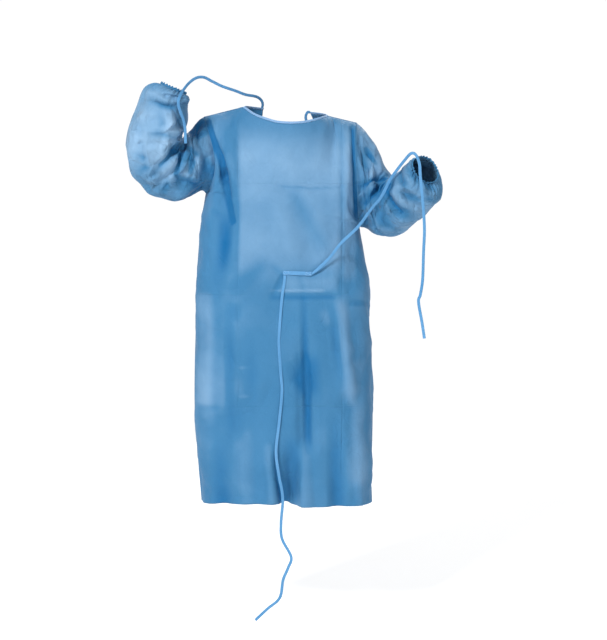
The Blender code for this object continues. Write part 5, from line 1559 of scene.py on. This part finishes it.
def fine_sleeve(name, grid, inward):
    """A sleeve at full fineness, with its creases, facets, waves and the gathers at the wrist.
    Gives the same three things as for a panel."""
    factors = [FINE_RING] * (len(grid) - 1)
    fine = refined(grid, factors, FINE_AROUND, closed=True)
    into = unit(refined(inward, factors, FINE_AROUND, closed=True))
    down, over = lengths_along(fine)
    fade = seam_fade(len(down), down[-1] / (len(down) - 1), SEAM_REACH, end=False)[:, None]
    front_share = eased(np.clip(into[..., 1] / FACING_WHOLE, 0.0, 1.0))
    back_share = np.clip(-into[..., 1] / FACING_WHOLE, 0.0, 1.0)
    places_seen = fine[..., [0, 2]]
    depth, shade = crease_depth(places_seen, creases_of(name))
    depth_back, shade_back = crease_depth(places_seen, creases_of(name + "_back"))
    depth = depth * front_share + depth_back * back_share
    # pale: painted highlight from the patches, painted shade in the creases and painted highlight on their
    # ridges
    pale = painted_light_and_shade(places_seen, PAINTED_LIGHT_PATCHES[name]) + shade * front_share + shade_back * back_share
    period = over[-1] * len(over) / (len(over) - 1)
    away = down[-1] - down
    gather = np.clip(1 - away / GATHER_REACH, 0.0, 1.0)[:, None] ** GATHER_CURVE
    calm = 1 - GATHER_CALM * gather
    facing = FACING_LEFT + (1 - FACING_LEFT) * np.abs(into[..., 1])
    for cell, height, seed in FACETS_SLEEVE:
        crumple = calm * facing * facet_heights(down, over, cell, height, period, seed + len(name))
        depth += crumple
        # painted shade on sunk facets, painted highlight on raised ones
        pale -= crumple * FACET_SHADE
    for size, height, shift in RIPPLES_SLEEVE:
        depth += calm * ripple(fine, size, height, shift)
    depth = depth * fade + gather * gather_waves(fine.shape[1], len(away))
    return fine + into * depth[..., None], into, np.clip(pale, *PAINTED_LIGHT_LIMITS)


def gather_waves(around, rings):
    """Uneven pleats round a sleeve end, the same in each ring."""
    angles = np.linspace(0.0, math.tau, around, endpoint=False)
    uneven = np.array([noise.noise(Vector((math.cos(angle) * 2, math.sin(angle) * 2, 0.7)))
                       for angle in angles])
    waves = np.cos(GATHER_COUNT * (angles + GATHER_SHIFT * uneven)) * (1 + GATHER_UNEVEN * uneven)
    return np.tile(GATHER_DEPTH * waves, (rings, 1))


def fine_cuff(ring, before):
    """The gathered elastic hem beyond a sleeve's last ring, pinched in its middle."""
    middle = ring.mean(axis=0)
    spokes = unit(ring - middle)
    way = unit(np.cross(ring[0] - middle, ring[len(ring) // 4] - middle))
    if way @ (middle - before) < 0:
        way = -way
    waves = gather_waves(len(ring), 1)[0]
    rows = []
    for share in np.linspace(0.0, 1.0, CUFF_ROWS):
        pinch = CUFF_PINCH * math.sin(math.pi * min(share / CUFF_PINCH_END, 1.0))
        flare = waves * -CUFF_FLARE * share
        rows.append(ring - spokes * (pinch + flare)[:, None] + way * (SEAM_GAP + CUFF_LENGTH * share))
    return np.array(rows), np.repeat(-spokes[None], CUFF_ROWS, axis=0)


def neck_lines(panels, inwards):
    """The neckline from one back corner round the front to the other: its points, the way up across
    the binding and the way in."""
    start = COLUMNS_SHOULDER
    stop = COLUMNS_SHOULDER + COLUMNS_NECK_FRONT
    runs = []
    for name, picked in (("back_right", np.s_[:, :start - 1:-1]), ("front", np.s_[:, start:stop + 1]),
                         ("back_left", np.s_[:, start:])):
        grid = panels[name][picked]
        runs.append((grid[-1], grid[-2], inwards[name][picked][-1]))
    edge, below, inward = join_runs(runs)
    along = unit(np.gradient(edge, axis=0))
    up = edge - below
    up = up - np.sum(up * along, axis=1, keepdims=True) * along
    for _ in range(BINDING_SMOOTHING):
        up[1:-1] = unit(up[:-2] + 2 * up[1:-1] + up[2:])
    up = unit(up - np.sum(up * along, axis=1, keepdims=True) * along)
    up = unit(up - np.sum(up * inward, axis=1, keepdims=True) * inward)
    return edge, up, unit(inward)


def fine_line(line, factor):
    """A line of vectors with more points."""
    return refined_rows(line[:, None], [factor] * (len(line) - 1))[:, 0]


def bead(name, path, radius, look):
    """A thin round ridge along a seam."""
    along = unit(np.gradient(path, axis=0))
    side = unit(np.cross(along, (0.3, 0.2, 0.93)))
    other = np.cross(along, side)
    angles = np.arange(BEAD_POINTS) * math.tau / BEAD_POINTS
    rings = (path[:, None] + radius * (np.cos(angles)[None, :, None] * side[:, None]
                                       + np.sin(angles)[None, :, None] * other[:, None]))
    return tube(name, rings, look)


def ties(trim):
    """The neck and belt ties, along their routes."""
    for name, route, steps, sewn_end in (
            ("neck_tie_right", NECK_TIE_RIGHT, NECK_TIE_FINE, NECK_TIE_RIGHT_END),
            ("neck_tie_left", NECK_TIE_LEFT, NECK_TIE_FINE, NECK_TIE_LEFT_END),
            ("belt_tie_right", BELT_TIE_RIGHT, BELT_TIE_FINE, BELT_TIE_RIGHT_END),
            ("belt_tie_left", BELT_TIE_LEFT, BELT_TIE_FINE, BELT_TIE_LEFT_END)):
        piece, middles = tape("tape_" + name, route, steps, sewn_end, trim)
        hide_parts(name)
        tuple(route[0][:3])
        [tuple(float(part) for part in point) for point in middles[::TAPE_KEPT_POINTS]]


def cloth_pieces(panels, tubes, inwards, cloth, sleeving):
    """The three panels, the two sleeves and their cuffs. Gives the outer face and the inward
    directions of each but the cuffs."""
    sheets = {}
    outer = {}
    for name in panels:
        grid, into, pale = fine_panel(name, panels[name][0], inwards[name])
        outer[name] = (grid, into)
        sheets[name] = shell("cloth_" + name, grid, into, SHEET_THICKNESS, cloth, pale=pale)
    for name in tubes:
        grid, into, pale = fine_sleeve(name, tubes[name][0], inwards[name])
        outer[name] = (grid, into)
        sheets[name] = shell("cloth_" + name, grid, into, SHEET_THICKNESS, sleeving, closed=True,
                             pale=pale)
        cuff, cuff_in = fine_cuff(grid[-1], grid[-CUFF_AIM_RINGS].mean(axis=0))
        side = name.split("_")[1]
        sheets["cuff_" + side] = shell("cloth_cuff_" + side, cuff, cuff_in, CUFF_SHEET, cloth, closed=True)
    for name, piece in sheets.items():
        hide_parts(name)
    return outer


def neck_binding(panels, inwards, edging, thread):
    """The folded strip round the neckline, with its row of stitches."""
    edge, up, into = neck_lines({name: panels[name][0] for name in panels}, inwards)
    edge, up, into = (fine_line(line, BINDING_FINE) for line in (edge, up, into))
    up, into = unit(up), unit(into)
    middle = edge + up * (SEAM_GAP + BINDING_WIDTH / 2) + into * SOLID_WALL / 2
    binding = tube("tape_neck_binding", flat_rings(middle, up, -into, BINDING_WIDTH, BINDING_THICKNESS),
                   edging)
    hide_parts("neck_binding")
    low = edge + up * STITCH_INSET - into * (BINDING_PROUD + NECK_STITCH.lift)
    stitches("thread_neck", low, -into, thread, NECK_STITCH)


def belt(grid, trim, thread):
    """The sewn stretch of belt, with its stitched ends."""
    xs = np.linspace(BELT_FROM[0], BELT_TO[0], BELT_FINE)
    share = (xs - BELT_FROM[0]) / (BELT_TO[0] - BELT_FROM[0])
    heights = BELT_FROM[1] + share * (BELT_TO[1] - BELT_FROM[1])
    coarse = np.linspace(0, BELT_FINE - 1, BELT_STEPS + 1).round().astype(int)
    ys = []
    for index in coarse:
        around = [front_face_y(grid, xs[index] + reach, heights[index] + side)
                  for reach in BELT_LOOK_AROUND for side in (-BELT_WIDTH / 2, BELT_WIDTH / 2)]
        ys.append(min(around) - BELT_OFFSET - TIE_THICKNESS / 2)
    middle = np.stack([xs, np.interp(xs, xs[coarse], ys), heights], axis=1)
    ups = np.tile([0.0, 0.0, 1.0], (BELT_FINE, 1))
    outs = np.tile([0.0, -1.0, 0.0], (BELT_FINE, 1))
    piece = tube("tape_belt_front", flat_rings(middle, ups, outs, BELT_WIDTH, TAPE_THICKNESS), trim)
    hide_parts("belt_front")
    face = middle + outs * TAPE_THICKNESS * 0.5
    inset = ups[0] * (BELT_WIDTH / 2 - STITCH_INSET)
    for number, (first, last) in enumerate(BELT_BOXES):
        first, last = face[first], face[last]
        corners = [first + inset, last + inset, last - inset, first - inset, first + inset, last - inset]
        path = np.vstack([np.linspace(a, b, BELT_BOX_STEPS)[:-1] for a, b in zip(corners, corners[1:])]
                         + [corners[-1:]])
        ways = np.tile([0.0, -1.0, 0.0], (len(path), 1))
        stitches("thread_belt_%d" % number, path, ways, thread, BELT_STITCH)


def seams(outer, cloth):
    """Thin ridges of the sewn seams: shoulders, sides and armholes."""
    skirt = ROWS_SKIRT * FINE_SKIRT
    neck = COLUMNS_SHOULDER * FINE_COLUMNS
    places = {
        "side_right": np.s_[:skirt + 1, 0],
        "side_left": np.s_[:skirt + 1, -1],
        "shoulder_right": np.s_[-1, :neck + 1],
        "shoulder_left": np.s_[-1, -neck - 1:],
    }
    paths = {name: [lines[place] for lines in outer["front"]] for name, place in places.items()}
    for side in ("right", "left"):
        paths["armhole_" + side] = [np.vstack([rings[0], rings[0][:1]]) for rings in outer["sleeve_" + side]]
    for name, (path, ways) in paths.items():
        piece = bead("seam_" + name, path + ways * SEAM_BEAD_SINK, SEAM_BEAD, cloth)


def main():
    """The whole scene: the gown's pieces in the frame's own coordinates, the camera and the studio."""
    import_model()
    bpy.context.scene.view_settings.view_transform = "Standard"
    camera()
    cloth = nonwoven("nonwoven_cloth", CLOTH)
    sleeving = nonwoven("nonwoven_sleeve", SLEEVE_CLOTH)
    trim = nonwoven("nonwoven_tape", TRIM)
    edging = nonwoven("nonwoven_edging", EDGING)
    thread = mottled("sewing_thread", THREAD_COLOURS, THREAD_TWIST, THREAD_ROUGHNESS)
    ties(trim)
    panels = body_panels()
    tubes = sleeves(panels)
    inwards = dict(zip([*panels, *tubes], shared_inward([*panels.values(), *tubes.values()])))
    outer = cloth_pieces(panels, tubes, inwards, cloth, sleeving)
    neck_binding(panels, inwards, edging, thread)
    belt(panels["front"][0], trim, thread)
    seams(outer, cloth)
    studio()


main()
